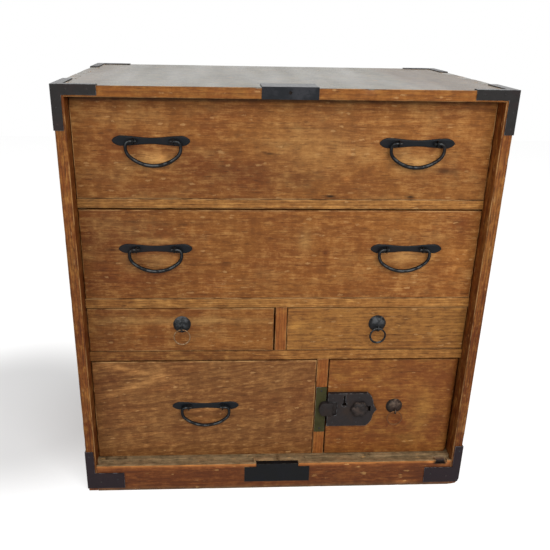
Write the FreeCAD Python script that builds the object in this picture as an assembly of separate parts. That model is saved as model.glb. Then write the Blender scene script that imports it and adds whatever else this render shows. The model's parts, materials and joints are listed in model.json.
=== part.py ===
import FreeCAD, Part
import math
import os
from FreeCAD import Vector

# Small tansu chest: a finger-jointed softwood case with three full shelves, five drawers, one
# pivot-hung door with a surface lock, iron corner straps, bail handles and ring pulls.
# Frame: X right, Y back, Z up, millimetres, origin at the middle of the base.

os.makedirs("parts", exist_ok=True)

# ---- driving dimensions: case -------------------------------------------------------------
CASE_WIDTH = 545.0
CASE_DEPTH = 360.0
CASE_HEIGHT = 562.5
SIDE_THICK = 13.4
TOP_THICK = 13.0
BACK_THICK = 8.0
BACK_PLANKS = 3
FRONT_RECESS = 23.6          # drawer fronts and rails stand this far behind the case's front
BASE_HEIGHT = 42.4           # front rail of the base, whose top is the ledge
BASE_RAIL_DEPTH = 45.0
BASE_TENON_FRONT = 15.0      # its tenons stand this far behind its front
BOTTOM_THICK = 12.0
RAIL_DEPTH = 36.0
RAIL_TENON_FRONT = 9.0
SHELF_THICK = 7.0
HOUSING_DEPTH = 5.0          # how far shelves, rails and bottom are let into the sides
TOP_FINGERS = 9              # fingers of the corner joint between a side and the top

# ---- driving dimensions: bays, from the base upwards --------------------------------------
LOWER_BAY = 157.4
LOWER_RAIL = 14.0
SMALL_BAY = 64.0
MIDDLE_RAIL = 13.6
MIDDLE_BAY = 122.3
UPPER_RAIL = 12.1
SMALL_PARTITION_X = 2.0
SMALL_PARTITION_THICK = 15.5
LOWER_PARTITION_X = 63.0
LOWER_PARTITION_THICK = 16.0

# ---- driving dimensions: groove for the drop-fit front ------------------------------------
GROOVE_LIP = 4.6
GROOVE_WIDTH = 12.0
LEDGE_GROOVE_DEPTH = 3.0
TOP_GROOVE_DEPTH = 6.0
GROOVE_FILL_FROM = -33.0     # the ledge groove is filled behind the centre plate
GROOVE_FILL_TO = 42.0
LIP_CHIP_WIDTH = 17.0        # piece broken out of the ledge's lip at the right end
LIP_CHIP_HEIGHT = 4.2
LIP_CHIP_FROM_SIDE = 6.0

# ---- driving dimensions: drawers ----------------------------------------------------------
DRAWER_FRONT = 15.0
DRAWER_SIDE = 9.0
DRAWER_BACK = 9.0
DRAWER_BOTTOM = 5.0
DRAWER_LAP = 10.0            # how far sides and bottom reach into the front
DRAWER_BACK_GAP = 6.0
DRAWER_SIDE_GAP = 0.7
DRAWER_FINGERS = 5
FRONT_CHAMFER = 0.8
UPPER_TOP_GAP = 0.9          # gap above each front
MIDDLE_TOP_GAP = 2.0
SMALL_TOP_GAP = 0.8
LOWER_TOP_GAP = 2.3
SMALL_LEFT_GAP = 2.0         # wide joint between the left small drawer and its partition

# ---- driving dimensions: door -------------------------------------------------------------
DOOR_THICK = 16.0
DOOR_GAP_LATCH = 1.6
DOOR_GAP_HINGE = 0.6
DOOR_GAP_TOP = 2.2
DOOR_GAP_BOTTOM = 0.5
PIVOT_DIAMETER = 6.0
PIVOT_LENGTH = 12.0
PIVOT_HOLE_GAP = 0.3

# ---- driving dimensions: bail handles -----------------------------------------------------
HANDLE_INSET = 95.6          # from a wide drawer's end to its handle
UPPER_HANDLE_RISE = 9.5      # handles above the middle of their bay
MIDDLE_HANDLE_RISE = 8.5
LOWER_HANDLE_RISE = 6.2
UPPER_LEFT_SHIFT = 2.4       # bail and eyes right of the middle of their plate
MIDDLE_RIGHT_SHIFT = -2.8
PLATE_LENGTH = 94.0
PLATE_BULGE = 12.4
PLATE_WAIST = 7.6
PLATE_SHOULDER = 9.5         # from a plate's tip to its widest place
PLATE_THICK = 1.2
LEAF_POINT = 1.5             # over 1 draws the leaf's tip out to a point
BAIL_WIDTH = 71.0            # over the wire
BAIL_WIRE = 4.4
BAIL_DROP = 29.2             # from the pivot to the middle of the wire at the bottom
BAIL_CORNER = 14.0
BAIL_CORNER_SHARE = 0.75     # most of a bail's height or half width that a corner may take
BAIL_BEND = 5.5
BAIL_END = 12.5              # length of the turned-in end, from the middle of the wire's side
EYE_INSET = 9.4              # from the middle of the wire's side to the eye
EYE_WIRE = 1.9
EYE_GAP = 0.35
EYE_PIN = 3.0
EYE_PIN_GAP = 0.1
BAIL_STANDOFF = 6.0          # pivot in front of the drawer's wood

# ---- facets of round wire, domes and pin holes --------------------------------------------
WIRE_SIDES = 8
BEND_STEPS = 3
CORNER_STEPS = 4
BOTTOM_STEPS = 9
RING_STEPS = 20
EYE_STEPS = 10
DOME_SIDES = 24
LEAF_STEPS = 5
HOLLOW_STEPS = 6

# ---- driving dimensions: ring pulls -------------------------------------------------------
BOSS_DIAMETER = 23.6
BOSS_HEIGHT = 6.4
RING_DIAMETER = 24.4
RING_WIRE = 3.0
RING_EYE_DROP = 4.5          # eye below the boss's middle
RING_EYE_WIRE = 1.9
RING_STANDOFF = 9.4
BOSS_PROFILE = ((1.0, 0.0), (1.0, 0.19), (0.86, 0.55), (0.62, 0.82), (0.34, 0.96), (0.12, 1.0))
SMALL_RING_RISE = 8.8        # bosses above the middle of their board
DOOR_RING_RISE = 1.8
DOOR_RING_OFFSET = 5.5       # ring of the door, right of the door's middle

# ---- driving dimensions: lock -------------------------------------------------------------
LOCK_SQUARE = 57.0           # straight part of the lock, from the door's edge
LOCK_HEIGHT = 53.6
LOCK_RISE = -1.0             # middle of the lock above the middle of the door
LOCK_POINT = 72.0            # from the door's edge to the point of the lock
LOCK_DEPTH = 6.0
LOCK_WALL = 1.3
LOCK_NECK = (0.62, 0.36)     # shares of the point's length and of half the height
LOCK_BOW = (0.44, 0.74)
LOCK_TAIL = (0.82, 0.12)
KEYHOLE_INSET = 24.0
KEYHOLE_ROUND = 7.0
KEYHOLE_SLOT = 2.6
KEYHOLE_LENGTH = 15.0
KEYHOLE_RISE = 8.6           # round of the keyhole above the lock's middle
BOLT_RISE = 1.0              # bolt above the middle of the door
BOLT_HEAD = 19.0
BOLT_HEAD_HEIGHT = 21.0
BOLT_NOSE_SHARE = 0.62       # length of the rounded nose, as a share of half the head's height
BOLT_OVERLAP = 12.2          # how far the bolt reaches past the door's edge
BOLT_BAR = 9.0
BOLT_TRAVEL = 13.0
BOLT_GAP = 0.3
KNOB_INSET = 46.0
KNOB_DIAMETER = 25.6
KNOB_HEIGHT = 7.5
KNOB_LOBES = 6
KNOB_SCALLOP_SHARE = 0.13    # depth of the hollows between lobes, as a share of the radius
KNOB_LOBE_STEPS = 6
KNOB_PROFILE = ((1.0, 0.0), (0.97, 0.3), (0.8, 0.68), (0.5, 0.92), (0.2, 1.0))
KNOB_STEM = 7.0
STRIKE_HEIGHT = 74.0
STRIKE_RISE = -3.0           # middle of the strike plate above the middle of the door
STRIKE_MARGIN = 0.4

# ---- driving dimensions: iron straps ------------------------------------------------------
IRON_THICK = 1.2
STRAP_WIDTH = 11.0
TOP_IRON_LEG = 51.0
TOP_IRON_SIDE_LEG = 76.0
BASE_IRON_LEG = 52.5
BASE_IRON_RISE = 67.0
BASE_IRON_BAND = 26.0
BASE_IRON_LIFT = 5.0
TOP_PLATE_FROM = -32.0
TOP_PLATE_TO = 35.0
TOP_PLATE_LAP = 42.0
TOP_PLATE_HOLE = 4.2
TOP_PLATE_HOLE_DROP = 5.4    # below the top of the case
BASE_PLATE_FROM = -46.5
BASE_PLATE_TO = 48.4
BASE_PLATE_HEIGHT = 25.2
BASE_PLATE_DROP = 5.2        # ledge down to the top of the wide part
BASE_TAB_FROM = -29.4
BASE_TAB_TO = 32.0
BASE_TAB_LAP = 7.4

# ---- places worked out from the above -----------------------------------------------------
HALF_WIDTH = CASE_WIDTH / 2
INNER_HALF = HALF_WIDTH - SIDE_THICK
FRONT_Y = -CASE_DEPTH / 2
BACK_Y = CASE_DEPTH / 2
FACE_Y = FRONT_Y + FRONT_RECESS
BACK_INNER_Y = BACK_Y - BACK_THICK
TOP_UNDER_Z = CASE_HEIGHT - TOP_THICK

LOWER_TOP_Z = BASE_HEIGHT + LOWER_BAY
SMALL_FLOOR_Z = LOWER_TOP_Z + LOWER_RAIL
SMALL_TOP_Z = SMALL_FLOOR_Z + SMALL_BAY
MIDDLE_FLOOR_Z = SMALL_TOP_Z + MIDDLE_RAIL
MIDDLE_TOP_Z = MIDDLE_FLOOR_Z + MIDDLE_BAY
UPPER_FLOOR_Z = MIDDLE_TOP_Z + UPPER_RAIL

SMALL_LEFT_X = SMALL_PARTITION_X - SMALL_PARTITION_THICK / 2
SMALL_RIGHT_X = SMALL_PARTITION_X + SMALL_PARTITION_THICK / 2
LOWER_LEFT_X = LOWER_PARTITION_X - LOWER_PARTITION_THICK / 2
LOWER_RIGHT_X = LOWER_PARTITION_X + LOWER_PARTITION_THICK / 2

DOOR_X0 = LOWER_RIGHT_X + DOOR_GAP_LATCH
DOOR_X1 = INNER_HALF - DOOR_GAP_HINGE
DOOR_Z0 = BASE_HEIGHT + DOOR_GAP_BOTTOM
DOOR_Z1 = LOWER_TOP_Z - DOOR_GAP_TOP
DOOR_MID_Z = (BASE_HEIGHT + LOWER_TOP_Z) / 2
PIVOT_X = DOOR_X1 - DOOR_THICK / 2
PIVOT_Y = FACE_Y + DOOR_THICK / 2


# ---- helpers ------------------------------------------------------------------------------
def box(x0, x1, y0, y1, z0, z1):
    """Block between two corners."""
    return Part.makeBox(x1 - x0, y1 - y0, z1 - z0, Vector(x0, y0, z0))


def rod(radius, start, direction, length):
    """Round bar from a point along a direction."""
    return Part.makeCylinder(radius, length, start, direction)


def fuse(solids):
    """One clean solid from touching pieces."""
    shape = solids[0]
    for other in solids[1:]:
        shape = shape.fuse(other)
    return shape.removeSplitter()


def front_sheet(edges, y, thick):
    """Sheet with an outline drawn in the XZ plane, its back at y and its face towards the front."""
    face = Part.Face(Part.Wire(edges))
    face.translate(Vector(0, y, 0))
    return face.extrude(Vector(0, -thick, 0))


def skin(rings, closed=False):
    """Faceted solid through equal rings of points: each ring joins the next by flat quads."""
    count = len(rings[0])
    pairs = list(zip(rings, rings[1:] + rings[:1])) if closed else list(zip(rings, rings[1:]))
    faces = [Part.Face(Part.makePolygon([a[i], a[(i + 1) % count], b[(i + 1) % count], b[i], a[i]]))
             for a, b in pairs for i in range(count)]
    if not closed:
        faces += [Part.Face(Part.makePolygon(ring + ring[:1])) for ring in (rings[0], rings[-1])]
    solid = Part.Solid(Part.makeShell(faces))
    if solid.Volume < 0:
        solid.reverse()
    return solid


def bar(points, radius, across, closed=False):
    """Round bar of WIRE_SIDES flats along a flat path, mitred at its points.

    across is the direction square to the path's plane.
    """
    rings = []
    last = len(points) - 1
    for i, point in enumerate(points):
        before = points[i - 1] if i or closed else None
        after = points[(i + 1) % (last + 1)] if i < last or closed else None
        into = (point - before).normalize() if before is not None else None
        out = (after - point).normalize() if after is not None else into
        into = into if into is not None else out
        along = (into + out).normalize()
        stretch = 1 / along.dot(into)
        beside = across.cross(along).normalize() * stretch
        corner = radius / math.cos(math.pi / WIRE_SIDES)
        rings.append([point + beside * (corner * math.cos(t)) + across * (corner * math.sin(t))
                      for t in (2 * math.pi * (k + 0.5) / WIRE_SIDES for k in range(WIRE_SIDES))])
    return skin(rings, closed)


def prism_rod(radius, start, end):
    """Straight bar of WIRE_SIDES flats between two points, square to X."""
    return bar([start, end], radius, Vector(1, 0, 0))


def circle_points(middle, radius, first, second, steps):
    """Corners of a closed ring whose flats touch the circle spanned by two directions."""
    corner = radius / math.cos(math.pi / steps)
    return [middle + first * (corner * math.cos(t)) + second * (corner * math.sin(t))
            for t in (2 * math.pi * (k + 0.5) / steps for k in range(steps))]


def arc_points(middle, radius, start, end, steps):
    """Points along an arc in the XZ plane between two angles, both ends included."""
    return [middle + Vector(math.cos(t), 0, math.sin(t)) * radius
            for t in (start + (end - start) * k / steps for k in range(steps + 1))]


def dome(outline, x, z, y):
    """Faceted dome on a face: outline lists (XZ points, height) rings towards the front."""
    return skin([[Vector(x + px, y - height, z + pz) for px, pz in points]
                 for points, height in outline])


def segment(a, b):
    """Straight edge between two XZ points."""
    return Part.LineSegment(Vector(a[0], 0, a[1]), Vector(b[0], 0, b[1])).toShape()


def arc(a, through, b):
    """Circular edge through three XZ points."""
    points = [Vector(p[0], 0, p[1]) for p in (a, through, b)]
    return Part.Arc(*points).toShape()


def chamfer_front(board, y, size):
    """Bevel the edges that bound a board's front face."""
    rim = [e for e in board.Edges if all(abs(v.Point.y - y) < 1e-6 for v in e.Vertexes)]
    return board.makeChamfer(size, rim)


def write(name, solids):
    """Write one node; several solids stay separate pieces of it."""
    pieces = solids if isinstance(solids, list) else [solids]
    flat = [s for piece in pieces for s in piece.Solids]
    shape = flat[0] if len(flat) == 1 else Part.makeCompound(flat)
    shape.exportStep("parts/" + name + ".step")


# ---- case ---------------------------------------------------------------------------------
def top_board():
    """Top with its own fingers at both ends and the drop-fit groove underneath."""
    pitch = CASE_DEPTH / TOP_FINGERS
    board = box(-INNER_HALF, INNER_HALF, FRONT_Y, BACK_Y, TOP_UNDER_Z, CASE_HEIGHT)
    fingers = [box(-HALF_WIDTH, HALF_WIDTH, FRONT_Y + i * pitch, FRONT_Y + (i + 1) * pitch,
                   TOP_UNDER_Z, CASE_HEIGHT) for i in range(1, TOP_FINGERS, 2)]
    board = fuse([board] + fingers)
    groove_y = FRONT_Y + GROOVE_LIP
    groove = box(-INNER_HALF, INNER_HALF, groove_y, groove_y + GROOVE_WIDTH,
                 TOP_UNDER_Z, TOP_UNDER_Z + TOP_GROOVE_DEPTH)
    rebate = box(-HALF_WIDTH, HALF_WIDTH, BACK_INNER_Y, BACK_Y, TOP_UNDER_Z,
                 CASE_HEIGHT - TOP_THICK / 2)
    return board.cut(groove).cut(rebate)


def base_front_rail():
    """Front rail of the base: its top is the grooved ledge, with a chip out of the lip."""
    reach = INNER_HALF + HOUSING_DEPTH
    rail = box(-INNER_HALF, INNER_HALF, FRONT_Y, FRONT_Y + BASE_RAIL_DEPTH, 0, BASE_HEIGHT)
    tenon_y = FRONT_Y + BASE_TENON_FRONT
    tenon = box(-reach, reach, tenon_y, FRONT_Y + BASE_RAIL_DEPTH, 0, BASE_HEIGHT)
    rail = fuse([rail, tenon])
    groove_y = FRONT_Y + GROOVE_LIP
    floor_z = BASE_HEIGHT - LEDGE_GROOVE_DEPTH
    for x0, x1 in ((-INNER_HALF, GROOVE_FILL_FROM), (GROOVE_FILL_TO, INNER_HALF)):
        rail = rail.cut(box(x0, x1, groove_y, groove_y + GROOVE_WIDTH, floor_z, BASE_HEIGHT))
    chip_x = INNER_HALF - LIP_CHIP_FROM_SIDE
    chip = box(chip_x - LIP_CHIP_WIDTH, chip_x, FRONT_Y, groove_y,
               BASE_HEIGHT - LIP_CHIP_HEIGHT, BASE_HEIGHT)
    hole = rod(PIVOT_DIAMETER / 2 + PIVOT_HOLE_GAP,
               Vector(PIVOT_X, PIVOT_Y, DOOR_Z0 - PIVOT_LENGTH / 2 - PIVOT_HOLE_GAP),
               Vector(0, 0, 1), PIVOT_LENGTH)
    tab_seat = box(BASE_TAB_FROM, BASE_TAB_TO, FRONT_Y, FRONT_Y + BASE_TAB_LAP,
                   BASE_HEIGHT - IRON_THICK, BASE_HEIGHT)
    return rail.cut(chip).cut(hole).cut(tab_seat)


def bottom_board():
    """Floor of the lowest bay, level with the ledge."""
    reach = INNER_HALF + HOUSING_DEPTH
    return box(-reach, reach, FRONT_Y + BASE_RAIL_DEPTH, BACK_INNER_Y,
               BASE_HEIGHT - BOTTOM_THICK, BASE_HEIGHT)


def shelf_rail(floor_z, thick):
    """Front rail of a shelf, tenoned into both sides."""
    reach = INNER_HALF + HOUSING_DEPTH
    rail = box(-INNER_HALF, INNER_HALF, FACE_Y, FACE_Y + RAIL_DEPTH, floor_z - thick, floor_z)
    tenon = box(-reach, reach, FACE_Y + RAIL_TENON_FRONT, FACE_Y + RAIL_DEPTH,
                floor_z - thick, floor_z)
    return fuse([rail, tenon])


def shelf_board(floor_z):
    """Shelf behind its rail, level with it and housed in the sides."""
    reach = INNER_HALF + HOUSING_DEPTH
    return box(-reach, reach, FACE_Y + RAIL_DEPTH, BACK_INNER_Y, floor_z - SHELF_THICK, floor_z)


def partition(x, thick, floor_z, above):
    """Upright between two bays, notched round the rail above it."""
    top_z = max(shape.BoundBox.ZMax for shape in above)
    board = box(x - thick / 2, x + thick / 2, FACE_Y, BACK_INNER_Y, floor_z, top_z)
    for shape in above:
        board = board.cut(shape)
    return board.Solids[0]


def back_planks():
    """Horizontal planks let into rebates of the sides and the top."""
    half = HALF_WIDTH - SIDE_THICK / 2
    pitch = (CASE_HEIGHT - TOP_THICK / 2) / BACK_PLANKS
    return [box(-half, half, BACK_INNER_Y, BACK_Y, i * pitch, (i + 1) * pitch)
            for i in range(BACK_PLANKS)]


def side_board(sign, let_in):
    """Side cut to receive everything that is let into it."""
    x0, x1 = sorted((sign * HALF_WIDTH, sign * INNER_HALF))
    board = box(x0, x1, FRONT_Y, BACK_Y, 0, CASE_HEIGHT)
    for shape in let_in:
        board = board.cut(shape)
    return board.Solids[0]


def build_case():
    """Write every board of the case."""
    top = top_board()
    base_rail = base_front_rail()
    bottom = bottom_board()
    levels = {"upper": (UPPER_FLOOR_Z, UPPER_RAIL), "middle": (MIDDLE_FLOOR_Z, MIDDLE_RAIL),
              "lower": (SMALL_FLOOR_Z, LOWER_RAIL)}
    rails = {name: shelf_rail(z, thick) for name, (z, thick) in levels.items()}
    shelves = {name: shelf_board(z) for name, (z, _) in levels.items()}
    top_hole = rod(PIVOT_DIAMETER / 2 + PIVOT_HOLE_GAP,
                   Vector(PIVOT_X, PIVOT_Y, DOOR_Z1 - PIVOT_LENGTH / 2),
                   Vector(0, 0, 1), PIVOT_LENGTH + PIVOT_HOLE_GAP)
    rails["lower"] = rails["lower"].cut(top_hole)
    planks = back_planks()
    let_in = [top, base_rail, bottom] + list(rails.values()) + list(shelves.values()) + planks
    write("side_left", side_board(-1, let_in))
    write("side_right", side_board(1, let_in))
    write("top_board", top)
    write("base_front_rail", base_rail)
    write("bottom_board", bottom)
    for name in levels:
        write("rail_" + name, rails[name])
        write("shelf_" + name, shelves[name])
    write("partition_small", partition(SMALL_PARTITION_X, SMALL_PARTITION_THICK, SMALL_FLOOR_Z,
                                       [rails["middle"], shelves["middle"]]))
    write("partition_lower", partition(LOWER_PARTITION_X, LOWER_PARTITION_THICK, BASE_HEIGHT,
                                       [rails["lower"], shelves["lower"]]))
    write("back_boards", planks)


# ---- bail handles -------------------------------------------------------------------------
def handle_plate(x, z):
    """Leaf-ended plate behind a bail: two long hollows between bulges, and ogival tips."""
    tip = PLATE_LENGTH / 2
    wide = tip - PLATE_SHOULDER
    bulge = PLATE_BULGE / 2
    waist = PLATE_WAIST / 2
    leaf = [(wide + PLATE_SHOULDER * math.sin(t) ** LEAF_POINT, bulge * math.cos(t))
            for t in (math.pi / 2 * k / LEAF_STEPS for k in range(LEAF_STEPS + 1))]
    hollow = [(wide * u, waist + (bulge - waist) * (1 - math.cos(math.pi * u)) / 2)
              for u in (k / HOLLOW_STEPS for k in range(HOLLOW_STEPS))]
    quarter = hollow + leaf
    outline = quarter + [(px, -pz) for px, pz in reversed(quarter[:-1])]
    outline += [(-px, pz) for px, pz in reversed(outline[1:-1])]
    corners = [Vector(x + px, FACE_Y, z + pz) for px, pz in outline]
    return Part.Face(Part.makePolygon(corners + corners[:1])).extrude(Vector(0, -PLATE_THICK, 0))


def eye_pin(x, z, standoff, hole, wire, reach):
    """Pin with a loop across it: the loop's hole runs along X, the shank goes into the wood."""
    middle = Vector(x, FACE_Y - standoff, z)
    centre_line = hole / 2 + wire / 2
    loop = bar(circle_points(middle, centre_line, Vector(0, 1, 0), Vector(0, 0, 1), EYE_STEPS),
               wire / 2, Vector(1, 0, 0), closed=True)
    shank = prism_rod(EYE_PIN / 2, middle + Vector(0, centre_line, 0),
                      Vector(x, FACE_Y + reach, z))
    return fuse([loop, shank])


def bail_points():
    """Middle line of a bail: ends turned in, sides, and a three-centred bottom."""
    half = (BAIL_WIDTH - BAIL_WIRE) / 2
    side_z = -BAIL_BEND - BAIL_WIRE / 2
    rise = BAIL_DROP + side_z
    small = min(BAIL_CORNER, rise * BAIL_CORNER_SHARE, half * BAIL_CORNER_SHARE)
    large = ((half - small) ** 2 + rise ** 2 - small ** 2) / (2 * (rise - small))
    small_mid = Vector(half - small, 0, side_z)
    large_mid = Vector(0, 0, large - BAIL_DROP)
    join = math.atan2(small_mid.z - large_mid.z, small_mid.x - large_mid.x)
    right = [Vector(half - BAIL_END, 0, 0)]
    right += arc_points(Vector(half - BAIL_BEND, 0, -BAIL_BEND), BAIL_BEND, math.pi / 2, 0,
                        BEND_STEPS)
    right += arc_points(small_mid, small, 0, join, CORNER_STEPS)[:-1]
    bottom = arc_points(large_mid, large, join, -math.pi - join, BOTTOM_STEPS)
    left = [Vector(-point.x, 0, point.z) for point in reversed(right)]
    return right + bottom + left


def bail(x, z):
    """Round-wire bail hanging from its eyes."""
    solid = bar(bail_points(), BAIL_WIRE / 2, Vector(0, 1, 0))
    solid.translate(Vector(x, FACE_Y - BAIL_STANDOFF, z))
    return solid


# ---- ring pulls ---------------------------------------------------------------------------
def ring_boss(x, z):
    """Domed boss under a ring pull."""
    radius = BOSS_DIAMETER / 2
    angles = [2 * math.pi * k / DOME_SIDES for k in range(DOME_SIDES)]
    rings = [([(radius * share * math.cos(t), radius * share * math.sin(t)) for t in angles],
              BOSS_HEIGHT * height) for share, height in BOSS_PROFILE]
    return dome(rings, x, z, FACE_Y)


def ring_pull(x, z):
    """Round ring whose top runs through the eye at this place."""
    radius = (RING_DIAMETER - RING_WIRE) / 2
    middle = Vector(x, FACE_Y - RING_STANDOFF, z - radius)
    points = circle_points(middle, radius, Vector(0, 0, 1), Vector(1, 0, 0), RING_STEPS)
    return bar(points, RING_WIRE / 2, Vector(0, 1, 0), closed=True)


def pin_hole(x, z, depth):
    """Hole for an eye pin, from in front of the wood to a depth in it."""
    return prism_rod(EYE_PIN / 2 + EYE_PIN_GAP, Vector(x, FACE_Y - RING_STANDOFF, z),
                     Vector(x, FACE_Y + depth, z))


def build_ring(name, x, z, wood_thick):
    """Write boss and ring of one pull and return the hole that its pin needs."""
    eye_z = z - RING_EYE_DROP
    hole = pin_hole(x, eye_z, wood_thick)
    eye = eye_pin(x, eye_z, RING_STANDOFF, RING_WIRE + 2 * EYE_GAP, RING_EYE_WIRE, wood_thick)
    write("ring_boss_" + name, [ring_boss(x, z).cut(hole), eye])
    write("ring_" + name, ring_pull(x, eye_z))
    return hole


# ---- drawers ------------------------------------------------------------------------------
def drawer_boards(x0, x1, z0, z1):
    """Front, both sides, back and bottom of a drawer box between four limits."""
    back_y = BACK_INNER_Y - DRAWER_BACK_GAP
    lap_y = FACE_Y + DRAWER_FRONT - DRAWER_LAP
    floor_z = z0 + DRAWER_BOTTOM
    bottom = box(x0, x1, lap_y, back_y, z0, floor_z)
    back = box(x0 + DRAWER_SIDE, x1 - DRAWER_SIDE, back_y - DRAWER_BACK, back_y, floor_z, z1)
    pitch = (z1 - floor_z) / DRAWER_FINGERS
    fingers = [box(x0, x1, back_y - DRAWER_BACK, back_y, floor_z + i * pitch,
                   floor_z + (i + 1) * pitch) for i in range(1, DRAWER_FINGERS, 2)]
    back = fuse([back] + fingers)
    sides = [box(x0, x0 + DRAWER_SIDE, lap_y, back_y, floor_z, z1).cut(back),
             box(x1 - DRAWER_SIDE, x1, lap_y, back_y, floor_z, z1).cut(back)]
    front = chamfer_front(box(x0, x1, FACE_Y, FACE_Y + DRAWER_FRONT, z0, z1),
                          FACE_Y, FRONT_CHAMFER)
    for piece in sides + [bottom]:
        front = front.cut(piece)
    return front, sides, back, bottom


def write_drawer(name, boards, holes):
    """Write a drawer's boards, with its front drilled."""
    front, sides, back, bottom = boards
    for hole in holes:
        front = front.cut(hole)
    write("drawer_" + name + "_front", front)
    write("drawer_" + name + "_sides", sides)
    write("drawer_" + name + "_back", back)
    write("drawer_" + name + "_bottom", bottom)


def build_bail_drawer(name, x0, x1, z0, z1, top_gap, rise, handles):
    """Drawer with bail handles: handles lists their places, the plate's X and the bail's shift."""
    boards = drawer_boards(x0 + DRAWER_SIDE_GAP, x1 - DRAWER_SIDE_GAP, z0, z1 - top_gap)
    z = (z0 + z1) / 2 + rise
    eye_half = (BAIL_WIDTH - BAIL_WIRE) / 2 - EYE_INSET
    plates = []
    eyes = []
    holes = []
    for place, x, shift in handles:
        eye_xs = (x + shift - eye_half, x + shift + eye_half)
        own_holes = [pin_hole(eye_x, z, DRAWER_FRONT) for eye_x in eye_xs]
        plates.append(handle_plate(x, z).cut(own_holes[0]).cut(own_holes[1]))
        eyes += [eye_pin(eye_x, z, BAIL_STANDOFF, BAIL_WIRE + 2 * EYE_GAP, EYE_WIRE, DRAWER_FRONT)
                 for eye_x in eye_xs]
        holes += own_holes
        write("bail_" + name + place, bail(x + shift, z))
    write_drawer(name, boards, holes)
    write("handle_plates_" + name, plates)
    write("handle_eyes_" + name, eyes)


def build_ring_drawer(name, x0, x1, gap_left, gap_right, ring_x):
    """Small drawer with one ring pull."""
    z0 = SMALL_FLOOR_Z
    z1 = SMALL_TOP_Z - SMALL_TOP_GAP
    boards = drawer_boards(x0 + gap_left, x1 - gap_right, z0, z1)
    hole = build_ring("small_" + name, ring_x, (z0 + z1) / 2 + SMALL_RING_RISE, DRAWER_FRONT)
    write_drawer("small_" + name, boards, [hole])


def build_drawers():
    """Write all five drawers with their pulls."""
    left = -INNER_HALF + HANDLE_INSET
    right = INNER_HALF - HANDLE_INSET
    build_bail_drawer("upper", -INNER_HALF, INNER_HALF, UPPER_FLOOR_Z, TOP_UNDER_Z, UPPER_TOP_GAP,
                      UPPER_HANDLE_RISE, (("_left", left, UPPER_LEFT_SHIFT), ("_right", right, 0)))
    build_bail_drawer("middle", -INNER_HALF, INNER_HALF, MIDDLE_FLOOR_Z, MIDDLE_TOP_Z,
                      MIDDLE_TOP_GAP, MIDDLE_HANDLE_RISE,
                      (("_left", left, 0), ("_right", right, MIDDLE_RIGHT_SHIFT)))
    build_bail_drawer("lower", -INNER_HALF, LOWER_LEFT_X, BASE_HEIGHT, LOWER_TOP_Z, LOWER_TOP_GAP,
                      LOWER_HANDLE_RISE, (("", (LOWER_LEFT_X - INNER_HALF) / 2, 0),))
    build_ring_drawer("left", -INNER_HALF, SMALL_LEFT_X, DRAWER_SIDE_GAP, SMALL_LEFT_GAP,
                      (SMALL_LEFT_X - INNER_HALF) / 2)
    build_ring_drawer("right", SMALL_RIGHT_X, INNER_HALF, DRAWER_SIDE_GAP, DRAWER_SIDE_GAP,
                      (SMALL_RIGHT_X + INNER_HALF) / 2)


# ---- door and lock ------------------------------------------------------------------------
def door_panel():
    """Door board whose hinge edge is rounded about the pivots."""
    flat = box(DOOR_X0, PIVOT_X, FACE_Y, FACE_Y + DOOR_THICK, DOOR_Z0, DOOR_Z1)
    edge = rod(DOOR_THICK / 2, Vector(PIVOT_X, PIVOT_Y, DOOR_Z0), Vector(0, 0, 1),
               DOOR_Z1 - DOOR_Z0)
    return fuse([flat, edge])


def door_pivots():
    """Two dowels, half in the door and half in the rails."""
    return [rod(PIVOT_DIAMETER / 2, Vector(PIVOT_X, PIVOT_Y, z - PIVOT_LENGTH / 2),
                Vector(0, 0, 1), PIVOT_LENGTH) for z in (DOOR_Z0, DOOR_Z1)]


def lock_outline(x0, inset):
    """Lock seen from the front: square at the door's edge, pointed towards the hinge."""
    z = DOOR_MID_Z + LOCK_RISE
    half = LOCK_HEIGHT / 2 - inset
    square = x0 + LOCK_SQUARE - inset / 2
    point = x0 + LOCK_POINT - 1.5 * inset
    neck, bow, tail = ((square + (point - square) * share, half * height)
                       for share, height in (LOCK_NECK, LOCK_BOW, LOCK_TAIL))
    start = x0 + inset
    return [segment((start, z - half), (square, z - half)),
            arc((square, z - half), (bow[0], z - bow[1]), (neck[0], z - neck[1])),
            arc((neck[0], z - neck[1]), (tail[0], z - tail[1]), (point, z)),
            arc((point, z), (tail[0], z + tail[1]), (neck[0], z + neck[1])),
            arc((neck[0], z + neck[1]), (bow[0], z + bow[1]), (square, z + half)),
            segment((square, z + half), (start, z + half)),
            segment((start, z + half), (start, z - half))]


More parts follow.
